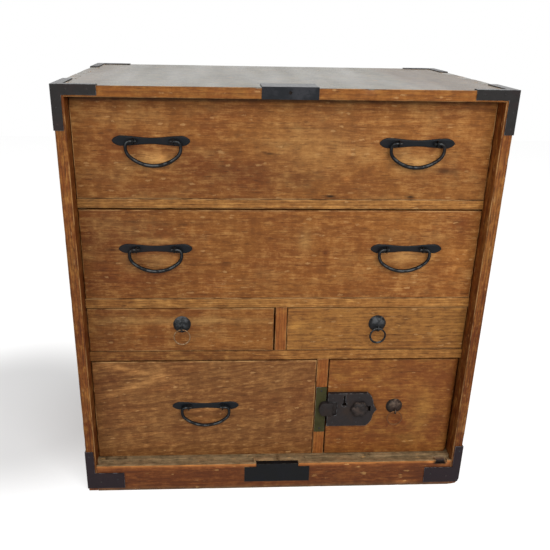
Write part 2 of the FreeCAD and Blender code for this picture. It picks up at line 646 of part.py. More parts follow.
def lock_case():
    """Shallow iron box on the door: keyhole, slot for the knob, mouth for the bolt."""
    x0 = DOOR_X0
    z = DOOR_MID_Z + BOLT_RISE
    shell = front_sheet(lock_outline(x0, 0), FACE_Y, LOCK_DEPTH)
    hollow = front_sheet(lock_outline(x0, LOCK_WALL), FACE_Y, LOCK_DEPTH - LOCK_WALL)
    key_x = x0 + KEYHOLE_INSET
    key_z = DOOR_MID_Z + LOCK_RISE + KEYHOLE_RISE
    face_y = FACE_Y - LOCK_DEPTH
    key_round = rod(KEYHOLE_ROUND / 2, Vector(key_x, face_y, key_z), Vector(0, 1, 0), LOCK_DEPTH)
    key_slot = box(key_x - KEYHOLE_SLOT / 2, key_x + KEYHOLE_SLOT / 2, face_y, FACE_Y,
                   key_z, key_z + KEYHOLE_LENGTH)
    knob_x = x0 + KNOB_INSET
    knob_half = KNOB_STEM / 2 + BOLT_GAP
    knob_slot = box(knob_x - knob_half, knob_x + BOLT_TRAVEL + knob_half, face_y,
                    FACE_Y, z - knob_half, z + knob_half)
    mouth_half = BOLT_HEAD_HEIGHT / 2 + BOLT_GAP
    mouth = box(x0, x0 + BOLT_TRAVEL + BOLT_GAP, face_y, FACE_Y, z - mouth_half, z + mouth_half)
    case = shell.cut(hollow)
    for hole in (key_round, key_slot, knob_slot, mouth):
        case = case.cut(hole)
    return case.Solids[0]


def knob_shape(x, z, y):
    """Scalloped dome: its outline swells into lobes and shrinks towards a low round top."""
    steps = KNOB_LOBES * KNOB_LOBE_STEPS
    outline = []
    for k in range(steps):
        angle = 2 * math.pi * k / steps
        swell = 1 - KNOB_SCALLOP_SHARE * abs(math.sin(KNOB_LOBES * angle / 2)) ** 3
        radius = KNOB_DIAMETER / 2 * swell
        outline.append((radius * math.cos(angle), radius * math.sin(angle)))
    rings = [([(px * share, pz * share) for px, pz in outline], KNOB_HEIGHT * height)
             for share, height in KNOB_PROFILE]
    return dome(rings, x, z, y)


def lock_bolt():
    """Sliding bolt: head over the strike plate, bar in the case, stem and knob."""
    x0 = DOOR_X0 - BOLT_OVERLAP
    z = DOOR_MID_Z + BOLT_RISE
    half = BOLT_HEAD_HEIGHT / 2
    back_y = FACE_Y - PLATE_THICK - BOLT_GAP
    inner_y = FACE_Y - LOCK_DEPTH + LOCK_WALL + BOLT_GAP
    outer_y = FACE_Y - LOCK_DEPTH - BOLT_GAP
    front_y = outer_y - LOCK_WALL * 2
    nose_x = DOOR_X0 - BOLT_GAP
    nose = box(x0, nose_x, front_y, back_y, z - half, z + half)
    head = box(x0, x0 + BOLT_HEAD, front_y, outer_y, z - half, z + half)
    corner = half * BOLT_NOSE_SHARE
    round_cut = box(x0, x0 + corner, front_y, back_y, z - half, z + half)
    bow = [arc((x0 + corner, z - half), (x0, z), (x0 + corner, z + half)),
           segment((x0 + corner, z + half), (x0 + corner, z - half))]
    rounded = front_sheet(bow, back_y, back_y - front_y)
    block = fuse([nose, head]).cut(round_cut).fuse(rounded.common(fuse([nose, head])))
    knob_x = DOOR_X0 + KNOB_INSET
    bar = box(nose_x, knob_x + KNOB_STEM / 2, inner_y, back_y, z - BOLT_BAR / 2,
              z + BOLT_BAR / 2)
    stem = rod(KNOB_STEM / 2, Vector(knob_x, inner_y, z), Vector(0, -1, 0), inner_y - outer_y)
    return fuse([block, bar, stem, knob_shape(knob_x, z, outer_y)])


def build_door():
    """Write door, pivots, pull, lock and strike plate."""
    ring_x = (LOWER_RIGHT_X + INNER_HALF) / 2 + DOOR_RING_OFFSET
    hole = build_ring("door", ring_x, DOOR_MID_Z + DOOR_RING_RISE, DOOR_THICK)
    pivots = door_pivots()
    panel = door_panel().cut(hole)
    for pivot in pivots:
        panel = panel.cut(pivot)
    write("door_panel", panel)
    write("door_pivots", pivots)
    write("lock_case", lock_case())
    write("lock_bolt", lock_bolt())
    z = DOOR_MID_Z + STRIKE_RISE
    write("strike_plate", box(LOWER_LEFT_X + STRIKE_MARGIN, LOWER_RIGHT_X - STRIKE_MARGIN,
                              FACE_Y - PLATE_THICK, FACE_Y, z - STRIKE_HEIGHT / 2,
                              z + STRIKE_HEIGHT / 2))


# ---- iron straps --------------------------------------------------------------------------
def top_iron(sign_x, sign_y):
    """Corner strap folded over the front or back, the side and the top."""
    x_out = HALF_WIDTH + IRON_THICK
    y_out = BACK_Y + IRON_THICK
    z_out = CASE_HEIGHT + IRON_THICK
    x_in = HALF_WIDTH - STRAP_WIDTH
    y_in = BACK_Y - STRAP_WIDTH
    z_in = CASE_HEIGHT - STRAP_WIDTH
    x_leg = HALF_WIDTH - TOP_IRON_LEG
    y_leg = BACK_Y - TOP_IRON_SIDE_LEG
    z_leg = CASE_HEIGHT - TOP_IRON_LEG
    legs = fuse([box(x_leg, x_out, y_in, y_out, z_in, z_out),
                 box(x_in, x_out, y_leg, y_out, z_in, z_out),
                 box(x_in, x_out, y_in, y_out, z_leg, z_out)])
    core = box(-HALF_WIDTH, HALF_WIDTH, -BACK_Y, BACK_Y, 0, CASE_HEIGHT)
    iron = legs.cut(core)
    if sign_x < 0:
        iron = iron.mirror(Vector(0, 0, 0), Vector(1, 0, 0))
    if sign_y < 0:
        iron = iron.mirror(Vector(0, 0, 0), Vector(0, 1, 0))
    return iron


def base_iron(sign_x, sign_y):
    """Corner strap of the base, folded over the front or back and the side."""
    x_out = HALF_WIDTH + IRON_THICK
    y_out = BACK_Y + IRON_THICK
    z0 = BASE_IRON_LIFT
    z1 = BASE_IRON_LIFT + BASE_IRON_BAND
    legs = fuse([box(HALF_WIDTH - BASE_IRON_LEG, x_out, BACK_Y - BASE_IRON_LEG, y_out, z0, z1),
                 box(HALF_WIDTH - STRAP_WIDTH, x_out, BACK_Y - STRAP_WIDTH, y_out, z0,
                     BASE_IRON_RISE)])
    core = box(-HALF_WIDTH, HALF_WIDTH, -BACK_Y, BACK_Y, 0, CASE_HEIGHT)
    iron = legs.cut(core)
    if sign_x < 0:
        iron = iron.mirror(Vector(0, 0, 0), Vector(1, 0, 0))
    if sign_y < 0:
        iron = iron.mirror(Vector(0, 0, 0), Vector(0, 1, 0))
    return iron


def build_irons():
    """Write corner straps and the two centre plates."""
    corners = [(x, y) for x in (-1, 1) for y in (-1, 1)]
    write("corner_irons_top", [top_iron(*c) for c in corners])
    write("corner_irons_base", [base_iron(*c) for c in corners])
    top_z = CASE_HEIGHT + IRON_THICK
    out_y = FRONT_Y - IRON_THICK
    top_plate = fuse([box(TOP_PLATE_FROM, TOP_PLATE_TO, out_y, FRONT_Y, TOP_UNDER_Z, top_z),
                      box(TOP_PLATE_FROM, TOP_PLATE_TO, out_y, FRONT_Y + TOP_PLATE_LAP,
                          CASE_HEIGHT, top_z)])
    hole_x = (TOP_PLATE_FROM + TOP_PLATE_TO) / 2
    hole = rod(TOP_PLATE_HOLE / 2, Vector(hole_x, out_y, CASE_HEIGHT - TOP_PLATE_HOLE_DROP),
               Vector(0, 1, 0), IRON_THICK)
    write("top_centre_plate", top_plate.cut(hole))
    wide_z = BASE_HEIGHT - BASE_PLATE_DROP
    write("base_centre_plate", fuse([
        box(BASE_PLATE_FROM, BASE_PLATE_TO, out_y, FRONT_Y, wide_z - BASE_PLATE_HEIGHT, wide_z),
        box(BASE_TAB_FROM, BASE_TAB_TO, out_y, FRONT_Y, wide_z, BASE_HEIGHT),
        box(BASE_TAB_FROM, BASE_TAB_TO, out_y, FRONT_Y + BASE_TAB_LAP,
            BASE_HEIGHT - IRON_THICK, BASE_HEIGHT)]))


build_case()
build_drawers()
build_door()
build_irons()
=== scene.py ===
import json
import logging
import math
from dataclasses import dataclass
from enum import Enum
from functools import cache
from itertools import product
from typing import Any, Sequence

import bmesh
import bpy
import numpy as np
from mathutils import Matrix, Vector

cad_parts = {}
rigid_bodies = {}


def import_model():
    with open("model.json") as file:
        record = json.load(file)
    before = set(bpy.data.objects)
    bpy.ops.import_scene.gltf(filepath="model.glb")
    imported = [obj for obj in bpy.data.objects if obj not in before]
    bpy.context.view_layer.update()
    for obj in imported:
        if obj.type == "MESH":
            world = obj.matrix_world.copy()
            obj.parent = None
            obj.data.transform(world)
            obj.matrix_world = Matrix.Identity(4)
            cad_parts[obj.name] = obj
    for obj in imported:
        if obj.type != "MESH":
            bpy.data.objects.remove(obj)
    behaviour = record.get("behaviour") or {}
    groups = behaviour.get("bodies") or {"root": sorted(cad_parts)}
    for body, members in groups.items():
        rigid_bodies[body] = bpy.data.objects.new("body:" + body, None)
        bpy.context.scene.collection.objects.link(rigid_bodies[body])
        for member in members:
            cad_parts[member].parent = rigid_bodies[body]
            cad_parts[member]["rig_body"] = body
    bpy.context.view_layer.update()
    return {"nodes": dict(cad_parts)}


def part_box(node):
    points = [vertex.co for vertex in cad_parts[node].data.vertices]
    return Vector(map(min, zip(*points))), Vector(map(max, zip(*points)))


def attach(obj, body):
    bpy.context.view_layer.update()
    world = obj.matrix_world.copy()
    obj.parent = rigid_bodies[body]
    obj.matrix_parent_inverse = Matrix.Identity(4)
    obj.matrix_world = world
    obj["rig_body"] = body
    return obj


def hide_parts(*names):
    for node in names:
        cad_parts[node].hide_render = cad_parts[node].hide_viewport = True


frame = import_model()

Array = np.ndarray
Mesh = bpy.types.Mesh
Colour = tuple[int, int, int]
Point = tuple[float, float, float]
Pair = tuple[float, float]
log = logging.getLogger("tansu")

MM = 0.001                   # a millimetre in metres
WELD = 2e-6                  # points closer than this, in metres, are one
FLAT_TO = 1.0                # faces that meet at less than this, in degrees, are one
BEVEL_FROM = 30.0            # outer corners sharper than this, in degrees, are rounded
WOOD_SHARP, IRON_SHARP = 50.0, 30.0    # corners sharper than this keep an edge in their shading
CORNER_WEAR = 9.0            # radius of the case's worn corner at the front, in millimetres
CORNER_WEAR_LENGTH = 60.0    # how far behind the front it ends
OUTER_BOARD = "side_right"   # its outer side and front edge are those of the case


# ---- shapes worked out as arrays -------------------------
HASH_PRIMES = np.array([73856093, 19349663, 83492791])
HASH_SEED, HASH_MIX, HASH_MASK = 668265263, 1274126177, 0xFFFF
END_ANGLES = np.array([30.0, 60.0, 90.0]) * math.pi / 180    # rings of a bar's rounded end
EDGE_INSET = 2.2             # where a board's outermost cells begin, as a multiple of its bevel


def lattice_noise(points: Array, seed: int) -> Array:
    """Smooth noise from -1 to 1: random values at whole-number corners, blended by 3t^2 - 2t^3.

    Args:
        points: n x 3 places, in cells of the lattice.
        seed: picks the random values.
    """
    cell = np.floor(points).astype(np.int64)
    part = points - cell
    ease = part * part * (3 - 2 * part)
    total = np.zeros(len(points))
    for corner in product((0, 1), repeat=3):
        key = np.bitwise_xor.reduce((cell + np.array(corner)) * HASH_PRIMES, axis=1) ^ (seed * HASH_SEED)
        key = (key ^ (key >> 13)) * HASH_MIX
        value = ((key ^ (key >> 16)) & HASH_MASK) / (HASH_MASK / 2) - 1
        total += value * np.prod(np.where(corner, ease, 1 - ease), axis=1)
    return total


def unit(vectors: Array) -> Array:
    """Rows scaled to length 1."""
    return vectors / np.maximum(np.linalg.norm(vectors, axis=-1, keepdims=True), 1e-12)


def turns(steps: int) -> Array:
    """Angles of equal steps round a circle."""
    return np.arange(steps) * 2 * math.pi / steps


@dataclass
class Surface:
    """Points of one or more closed shapes, with the four corners of each face."""

    points: Array
    quads: Array

    @staticmethod
    def from_grid(grid: Array, wrap_rows: bool = False) -> "Surface":
        """Closes a grid of rings, rows x columns x 3 places, round its columns and, if asked, its rows."""
        rows, cols = grid.shape[:2]
        r = np.arange(rows if wrap_rows else rows - 1)[:, None]
        c = np.arange(cols)[None, :]
        r1, c1 = (r + 1) % rows, (c + 1) % cols
        quads = np.stack([r * cols + c, r * cols + c1, r1 * cols + c1, r1 * cols + c], axis=-1)
        return Surface(grid.reshape(-1, 3), quads.reshape(-1, 4))

    @staticmethod
    def joined(parts: Sequence["Surface"]) -> "Surface":
        """Several shapes as one, with the face numbers shifted by the points before them."""
        starts = np.cumsum([0] + [len(p.points) for p in parts[:-1]])
        return Surface(np.concatenate([p.points for p in parts]),
                       np.concatenate([p.quads + s for p, s in zip(parts, starts)]))


def round_ends(path: Array, radius: Array) -> tuple[Array, Array]:
    """Adds quarter-round ends to a bar: at angle a past the end it is r.sin a further, r.cos a thick."""
    first, last = unit(path[:1] - path[1:2]), unit(path[-1:] - path[-2:-1])
    head = path[:1] + first * radius[0] * np.sin(END_ANGLES[::-1])[:, None]
    tail = path[-1:] + last * radius[-1] * np.sin(END_ANGLES)[:, None]
    return (np.concatenate([head, path, tail]),
            np.concatenate([radius[0] * np.cos(END_ANGLES[::-1]), radius, radius[-1] * np.cos(END_ANGLES)]))


def bar(path: Array, radius: Array, across: Point, sides: int, closed: bool = False,
        flat: float = 1.0) -> Surface:
    """Bar along a flat path: ring = path + r.cos a.across + flat.r.sin a.(across x tangent).

    Args:
        path: n x 3 places of the middle line.
        radius: n radii.
        across: unit direction square to the plane of the path.
        sides: points round each ring.
        closed: joins the ends; otherwise they are rounded.
        flat: thickness in the plane of the path, as a share of that across it.
    """
    if not closed:
        path, radius = round_ends(path, radius)
    tangent = np.roll(path, -1, 0) - np.roll(path, 1, 0) if closed else np.gradient(path, axis=0)
    side = np.array(across, float)
    normal = unit(np.cross(side, unit(tangent)))
    turn = turns(sides)
    ring = (np.cos(turn)[None, :, None] * side
            + flat * np.sin(turn)[None, :, None] * normal[:, None, :])
    return Surface.from_grid(path[:, None, :] + radius[:, None, None] * ring, closed)


def leaf(along: Array, half: Array, thick: float, centre: Point, columns: int = 17) -> Surface:
    """Sheet-iron leaf: front z = v.half, y = -thick.(1 - 0.7.v^8) for v from -1 to 1; the back is flat.

    Args:
        along: stations on X.
        half: half width at each station, 0 at the tips.
        thick: thickness of the sheet.
        centre: middle of the back face.
        columns: points across the front.
    """
    v = -np.cos(np.linspace(0, math.pi, columns))
    y = np.tile(np.concatenate([-thick * (1 - 0.7 * v ** 8), 0 * v]), (len(along), 1))
    z = half[:, None] * np.concatenate([v, v[::-1]])[None, :]
    x = np.repeat(along[:, None], 2 * columns, axis=1)
    return Surface.from_grid(np.stack([x, y, z], axis=-1) + np.array(centre))


def lofted(outline: Array, centre: Point, profile: Array) -> Surface:
    """Outline on X and Z carried along Y: point = centre + share.outline, y = centre - height.

    Args:
        outline: n x 2 places about the centre.
        centre: place of height 0.
        profile: rows of share and height, starting and ending at share 0.
    """
    x, y, z = centre
    flat = profile[:, :1, None] * outline[None, :, :]
    height = np.repeat(profile[:, 1:], len(outline), axis=1)
    return Surface.from_grid(np.stack([x + flat[:, :, 0], y - height, z + flat[:, :, 1]], axis=-1))


def rounded_block(low: Array, high: Array, bevel: float) -> Surface:
    """Block between two corners as a lofted rectangle whose ends step in by the bevel."""
    outline = np.array([[low[0], low[2]], [high[0], low[2]], [high[0], high[2]], [low[0], high[2]]])
    middle = outline.mean(axis=0)
    half = outline[2] - middle
    rings = []
    for share, y in ((0 * half, low[1]), (1 - bevel / half, low[1]), (1, low[1] + bevel), (1, high[1] - bevel),
                     (1 - bevel / half, high[1]), (0 * half, high[1])):
        flat = middle + (outline - middle) * share
        rings.append(np.stack([flat[:, 0], np.full(4, y), flat[:, 1]], axis=1))
    return Surface.from_grid(np.array(rings))


def circle(radius: float, steps: int) -> Array:
    """Outline of a circle."""
    return radius * np.stack([np.cos(turns(steps)), np.sin(turns(steps))], axis=1)


def circle_path(centre: Point, radius: float, first: Point, second: Point, steps: int) -> Array:
    """Circle in space: centre + r.cos a.first + r.sin a.second."""
    turn = turns(steps)[:, None]
    return np.array(centre) + radius * (np.cos(turn) * np.array(first) + np.sin(turn) * np.array(second))


# ---- meshes and their attributes -------------------------
class Axis(Enum):
    """Directions of the row frame."""

    X = 0
    Y = 1
    Z = 2


X, Y, Z = Axis


@dataclass(frozen=True)
class Source:
    """Where a piece belongs: its body, its slot and the nodes it stands for."""

    body: str
    slot: str
    replaces: tuple[str, ...] = ()

    @staticmethod
    def of(node: str, slot: str) -> "Source":
        """Place of a piece that stands for one node."""
        return Source(frame["nodes"][node]["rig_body"], slot, (node,))


def new_object(name: str, mesh: Mesh, source: Source, finish: "Finish") -> None:
    """Adds a finished mesh at the origin, on its body, standing for its nodes."""
    piece = bpy.data.objects.new(name, mesh)
    bpy.context.scene.collection.objects.link(piece)
    piece.data.materials.append(finish.material())
    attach(piece, source.body)
    if source.replaces:
        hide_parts(*source.replaces)
    log.info("%s: %d faces on %s", name, len(mesh.polygons), source.body)


def shade(mesh: Mesh, sharp: float) -> None:
    """Shades a mesh smooth but for the corners sharper than so many degrees."""
    mesh.polygons.foreach_set("use_smooth", np.ones(len(mesh.polygons), bool))
    mesh.set_sharp_from_angle(angle=math.radians(sharp))


def mesh_from(surface: Surface, name: str) -> Mesh:
    """Mesh of a surface, with its poles merged, its faces outwards and smooth."""
    mesh = bpy.data.meshes.new(name)
    mesh.from_pydata(surface.points.tolist(), [], surface.quads.tolist())
    work = bmesh.new()
    work.from_mesh(mesh)
    bmesh.ops.remove_doubles(work, verts=work.verts, dist=WELD)
    bmesh.ops.recalc_face_normals(work, faces=work.faces)
    work.to_mesh(mesh)
    work.free()
    shade(mesh, WOOD_SHARP)
    return mesh


def corners_of(node: str) -> tuple[Array, Array]:
    """Lowest and highest corner of a node."""
    low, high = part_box(node)
    return np.array(low), np.array(high)


def cut_node(node: str, kind: str, depth: Axis, cell: float, bevel: float) -> tuple[Mesh, Array, Array]:
    """A node's triangles merged into flat faces, with rounded edges, cut into cells.

    Args:
        node: name of the node.
        kind: what its name starts with, wood_ or iron_.
        depth: the axis through its thickness.
        cell: size of a cell, in millimetres.
        bevel: width of its rounded edges, in millimetres.

    Returns:
        Its mesh, its points, and 1 for each corner of a rounded edge's faces and 0 for the rest.
    """
    work = bmesh.new()
    work.from_mesh(frame["nodes"][node].data)
    bmesh.ops.remove_doubles(work, verts=work.verts, dist=WELD)
    bmesh.ops.dissolve_limit(work, angle_limit=math.radians(FLAT_TO), verts=work.verts, edges=work.edges)
    round_edges(work, bevel * MM)
    slice_cells(work, *corners_of(node), depth, cell * MM, bevel * MM)
    bmesh.ops.triangulate(work, faces=[f for f in work.faces if len(f.verts) > 4])
    mesh = bpy.data.meshes.new(kind + node)
    work.to_mesh(mesh)
    work.free()
    return mesh, points_of(mesh), per_corner(mesh, read(mesh.polygons, "use_smooth", kind=bool))


def round_edges(work: bmesh.types.BMesh, width: float) -> None:
    """Rounds every sharp outer corner in two steps and marks the new faces smooth, the rest flat."""
    for face in work.faces:
        face.smooth = False
    sharp = [e for e in work.edges if len(e.link_faces) == 2 and e.is_convex
             and e.calc_face_angle() > math.radians(BEVEL_FROM)]
    made = bmesh.ops.bevel(work, geom=sharp, offset=width, offset_type="OFFSET", segments=2,
                           profile=0.5, affect="EDGES", clamp_overlap=True)
    for face in made["faces"]:
        face.smooth = True


def slice_cells(work: bmesh.types.BMesh, low: Array, high: Array, depth: Axis, cell: float,
                bevel: float) -> None:
    """Cuts a board along the planes of a grid, with one more plane just inside each edge.

    Args:
        work: the board's mesh.
        low: its lowest corner.
        high: its highest corner.
        depth: the axis through its thickness, which gets the edge planes alone.
        cell: size of a cell.
        bevel: width of its rounded edges.
    """
    inset = bevel * EDGE_INSET
    for axis in range(3):
        length = high[axis] - low[axis]
        places = [low[axis] + inset, high[axis] - inset] if length > 3 * inset else []
        steps = int(round(length / cell)) if axis != depth.value else 1
        places += [low[axis] + length * k / steps for k in range(1, steps)]
        normal = np.eye(3)[axis]
        for place in places:
            bmesh.ops.bisect_plane(work, geom=work.verts[:] + work.edges[:] + work.faces[:], dist=WELD,
                                   plane_co=place * normal, plane_no=normal)


def read(items: Any, name: str, width: int = 1, kind: type = float) -> Array:
    """One property of all of a mesh's vertices, faces or corners."""
    flat = np.empty(len(items) * width, kind)
    items.foreach_get(name, flat)
    return flat.reshape(-1, width) if width > 1 else flat


def points_of(mesh: Mesh) -> Array:
    """Places of a mesh's vertices."""
    return read(mesh.vertices, "co", 3)


def normals_of(mesh: Mesh) -> Array:
    """Directions of a mesh's vertices."""
    return read(mesh.vertex_normals, "vector", 3)


def corner_points(mesh: Mesh) -> Array:
    """Vertex number of each face corner."""
    return read(mesh.loops, "vertex_index", kind=np.int32)


def per_corner(mesh: Mesh, per_face: Array) -> Array:
    """Yes or no for each face as 1 or 0 on each of its corners."""
    return np.repeat(per_face.astype(float), read(mesh.polygons, "loop_total", kind=np.int32))


def corners_facing_up(mesh: Mesh) -> Array:
    """1 on the corners of faces that look up, 0 on the rest."""
    return per_corner(mesh, read(mesh.polygons, "normal", 3)[:, 2] > 0.5)


def store(mesh: Mesh, name: str, values: Array, domain: str = "POINT") -> None:
    """Writes an attribute of one or three numbers for each vertex or corner."""
    wide = values.ndim == 2
    made = mesh.attributes.new(name, "FLOAT_VECTOR" if wide else "FLOAT", domain)
    made.data.foreach_set("vector" if wide else "value", values.astype(np.float32).ravel())


def wear_down(mesh: Mesh, points: Array, sink: Array, corner: float, sharp: float) -> None:
    """Sinks points along their normals, rounds the case's worn corner, both in millimetres, and shades."""
    moved = worn_round(points - normals_of(mesh) * (sink * MM)[:, None], corner * MM)
    mesh.vertices.foreach_set("co", moved.ravel())
    shade(mesh, sharp)


def worn_round(points: Array, radius: float) -> Array:
    """Rounds the right lower front corner of the case, less and less behind the front.

    A point within the radius r of both the side and the floor moves towards the middle of that square's
    inner corner until it is r away from it; r shrinks as 1 - depth / the length of the wear.

    Args:
        points: n x 3 places.
        radius: radius at the front; 0 leaves the points alone.
    """
    if not radius:
        return points
    side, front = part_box(OUTER_BOARD)[1].x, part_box(OUTER_BOARD)[0].y
    own = radius * np.clip(1 - (points[:, 1] - front) / (CORNER_WEAR_LENGTH * MM), 0, 1)
    dx, dz = points[:, 0] - (side - own), own - points[:, 2]
    away = np.hypot(dx, dz)
    out = (dx > 0) & (dz > 0) & (away > own)
    shift = np.where(out, 1 - own / np.maximum(away, 1e-9), 0.0)
    return points + np.stack([-dx * shift, 0 * dx, dz * shift], axis=1)


# ---- shader nodes ----------------------------------------
WHITE = (1.0, 1.0, 1.0, 1.0)
COAT_IOR = 1.8               # of old wax and dust


def linear(colour: Colour) -> tuple[float, float, float, float]:
    """Screen colour from 0 to 255 as the linear values that a shader takes."""
    share = np.array(colour, float) / 255
    flat = np.where(share <= 0.04045, share / 12.92, ((share + 0.055) / 1.055) ** 2.4)
    return (*flat.tolist(), 1.0)


@dataclass(frozen=True)
class Value:
    """Output of a node; its sums, products and quotients add the nodes that work them out."""

    graph: "Graph"
    socket: bpy.types.NodeSocket

    def __add__(self, other: Any) -> "Value":
        """Value plus other."""
        return self.graph.math("ADD", self, other)

    def __sub__(self, other: Any) -> "Value":
        """Value minus other."""
        return self.graph.math("SUBTRACT", self, other)

    def __rsub__(self, other: Any) -> "Value":
        """Other minus value."""
        return self.graph.math("SUBTRACT", other, self)

    def __mul__(self, other: Any) -> "Value":
        """Value times other."""
        return self.graph.math("MULTIPLY", self, other)

    def __truediv__(self, other: Any) -> "Value":
        """Value divided by other."""
        return self.graph.math("DIVIDE", self, other)

    __radd__, __rmul__ = __add__, __mul__


class Graph:
    """Short calls that add shader nodes to one tree and join them."""

    def __init__(self, tree: bpy.types.NodeTree) -> None:
        """Starts on an empty tree."""
        self.tree = tree

    @staticmethod
    def of(made: Any) -> "Graph":
        """Emptied graph of a material or a world."""
        made.use_nodes = True
        made.node_tree.nodes.clear()
        return Graph(made.node_tree)

    def node(self, kind: str, inputs: dict[Any, Any] | None = None, **settings: Any) -> bpy.types.Node:
        """Adds a node, sets its properties and feeds its sockets.

        Args:
            kind: node type without its ShaderNode prefix, or the full type of a group's end.
            inputs: socket name or number to a value or another socket.
            settings: properties of the node.
        """
        row, column = divmod(len(self.tree.nodes), 10)
        made = self.tree.nodes.new(kind if kind.startswith("NodeGroup") else "ShaderNode" + kind)
        made.location = (220 * column, -300 * row)
        for name, value in settings.items():
            setattr(made, name, value)
        for key, value in (inputs or {}).items():
            self.feed(made.inputs[key], value)
        return made

    def feed(self, socket: bpy.types.NodeSocket, value: Any) -> None:
        """Links an output to the socket, or sets a number or colour as its own value."""
        value = value.socket if isinstance(value, Value) else value
        if isinstance(value, bpy.types.NodeSocket):
            self.tree.links.new(value, socket)
        else:
            socket.default_value = value

    def value(self, kind: str, inputs: dict[Any, Any] | None = None, output: Any = 0,
              **settings: Any) -> Value:
        """One output of a new node."""
        return Value(self, self.node(kind, inputs, **settings).outputs[output])

    def math(self, operation: str, a: Any, b: Any = 0.0) -> Value:
        """Result of one sum on two values."""
        return self.value("Math", {0: a, 1: b}, operation=operation)

    def mix(self, a: Any, b: Any, share: Any) -> Value:
        """Colour from a to b by a share of 0 to 1."""
        return self.value("Mix", {0: share, 6: a, 7: b}, 2, data_type="RGBA", clamp_factor=True)

    def scaled(self, vector: Any, scale: Any) -> Value:
        """Vector or colour times one number."""
        return self.value("VectorMath", {0: vector, "Scale": scale}, operation="SCALE")

    def place(self, vector: Any, scale: Point, shift: float = 0.0, turn: float = 0.0) -> Value:
        """Coordinates stretched by a scale for each axis, turned about the third and moved."""
        return self.value("Mapping", {"Vector": vector, "Scale": scale, "Location": (shift,) * 3,
                                      "Rotation": (0.0, 0.0, turn)})

    def noise(self, vector: Any, scale: Point, shift: float = 0.0, detail: float = 2.0,
              rough: float = 0.5, turn: float = 0.0) -> Value:
        """Noise from 0 to 1 whose cells are 1/scale long on each axis."""
        return self.value("TexNoise", {"Vector": self.place(vector, scale, shift, turn), "Scale": 1.0,
                                       "Detail": detail, "Roughness": rough})

    def band(self, value: Any, low: Any, high: Any, to_low: Any = 0.0, to_high: Any = 1.0) -> Value:
        """Smooth step of a value between two limits."""
        return self.value("MapRange", {"Value": value, "From Min": low, "From Max": high, "To Min": to_low,
                                       "To Max": to_high}, interpolation_type="SMOOTHSTEP")

    def attribute(self, name: str, output: str = "Fac") -> Value:
        """Attribute of the piece's mesh."""
        return self.value("Attribute", None, output, attribute_name=name)


def shader_group(name: str, colours: Sequence[str], numbers: Sequence[str]) -> tuple[Graph, dict[str, Value]]:
    """Empty node group for one kind of skin, which will put out colour, roughness, height and coat.

    Args:
        name: name of the group.
        colours: names of its colour inputs.
        numbers: names of its number inputs.

    Returns:
        Its graph and its inputs.
    """
    tree = bpy.data.node_groups.new(name, "ShaderNodeTree")
    for labels, kind in ((colours, "Color"), (numbers, "Float")):
        for label in labels:
            tree.interface.new_socket(label, in_out="INPUT", socket_type="NodeSocket" + kind)
    for label, kind in (("Color", "Color"), ("Roughness", "Float"), ("Height", "Float"), ("Coat", "Float")):
        tree.interface.new_socket(label, in_out="OUTPUT", socket_type="NodeSocket" + kind)
    graph = Graph(tree)
    source = graph.node("NodeGroupInput").outputs
    return graph, {label: Value(graph, source[label]) for label in (*colours, *numbers)}


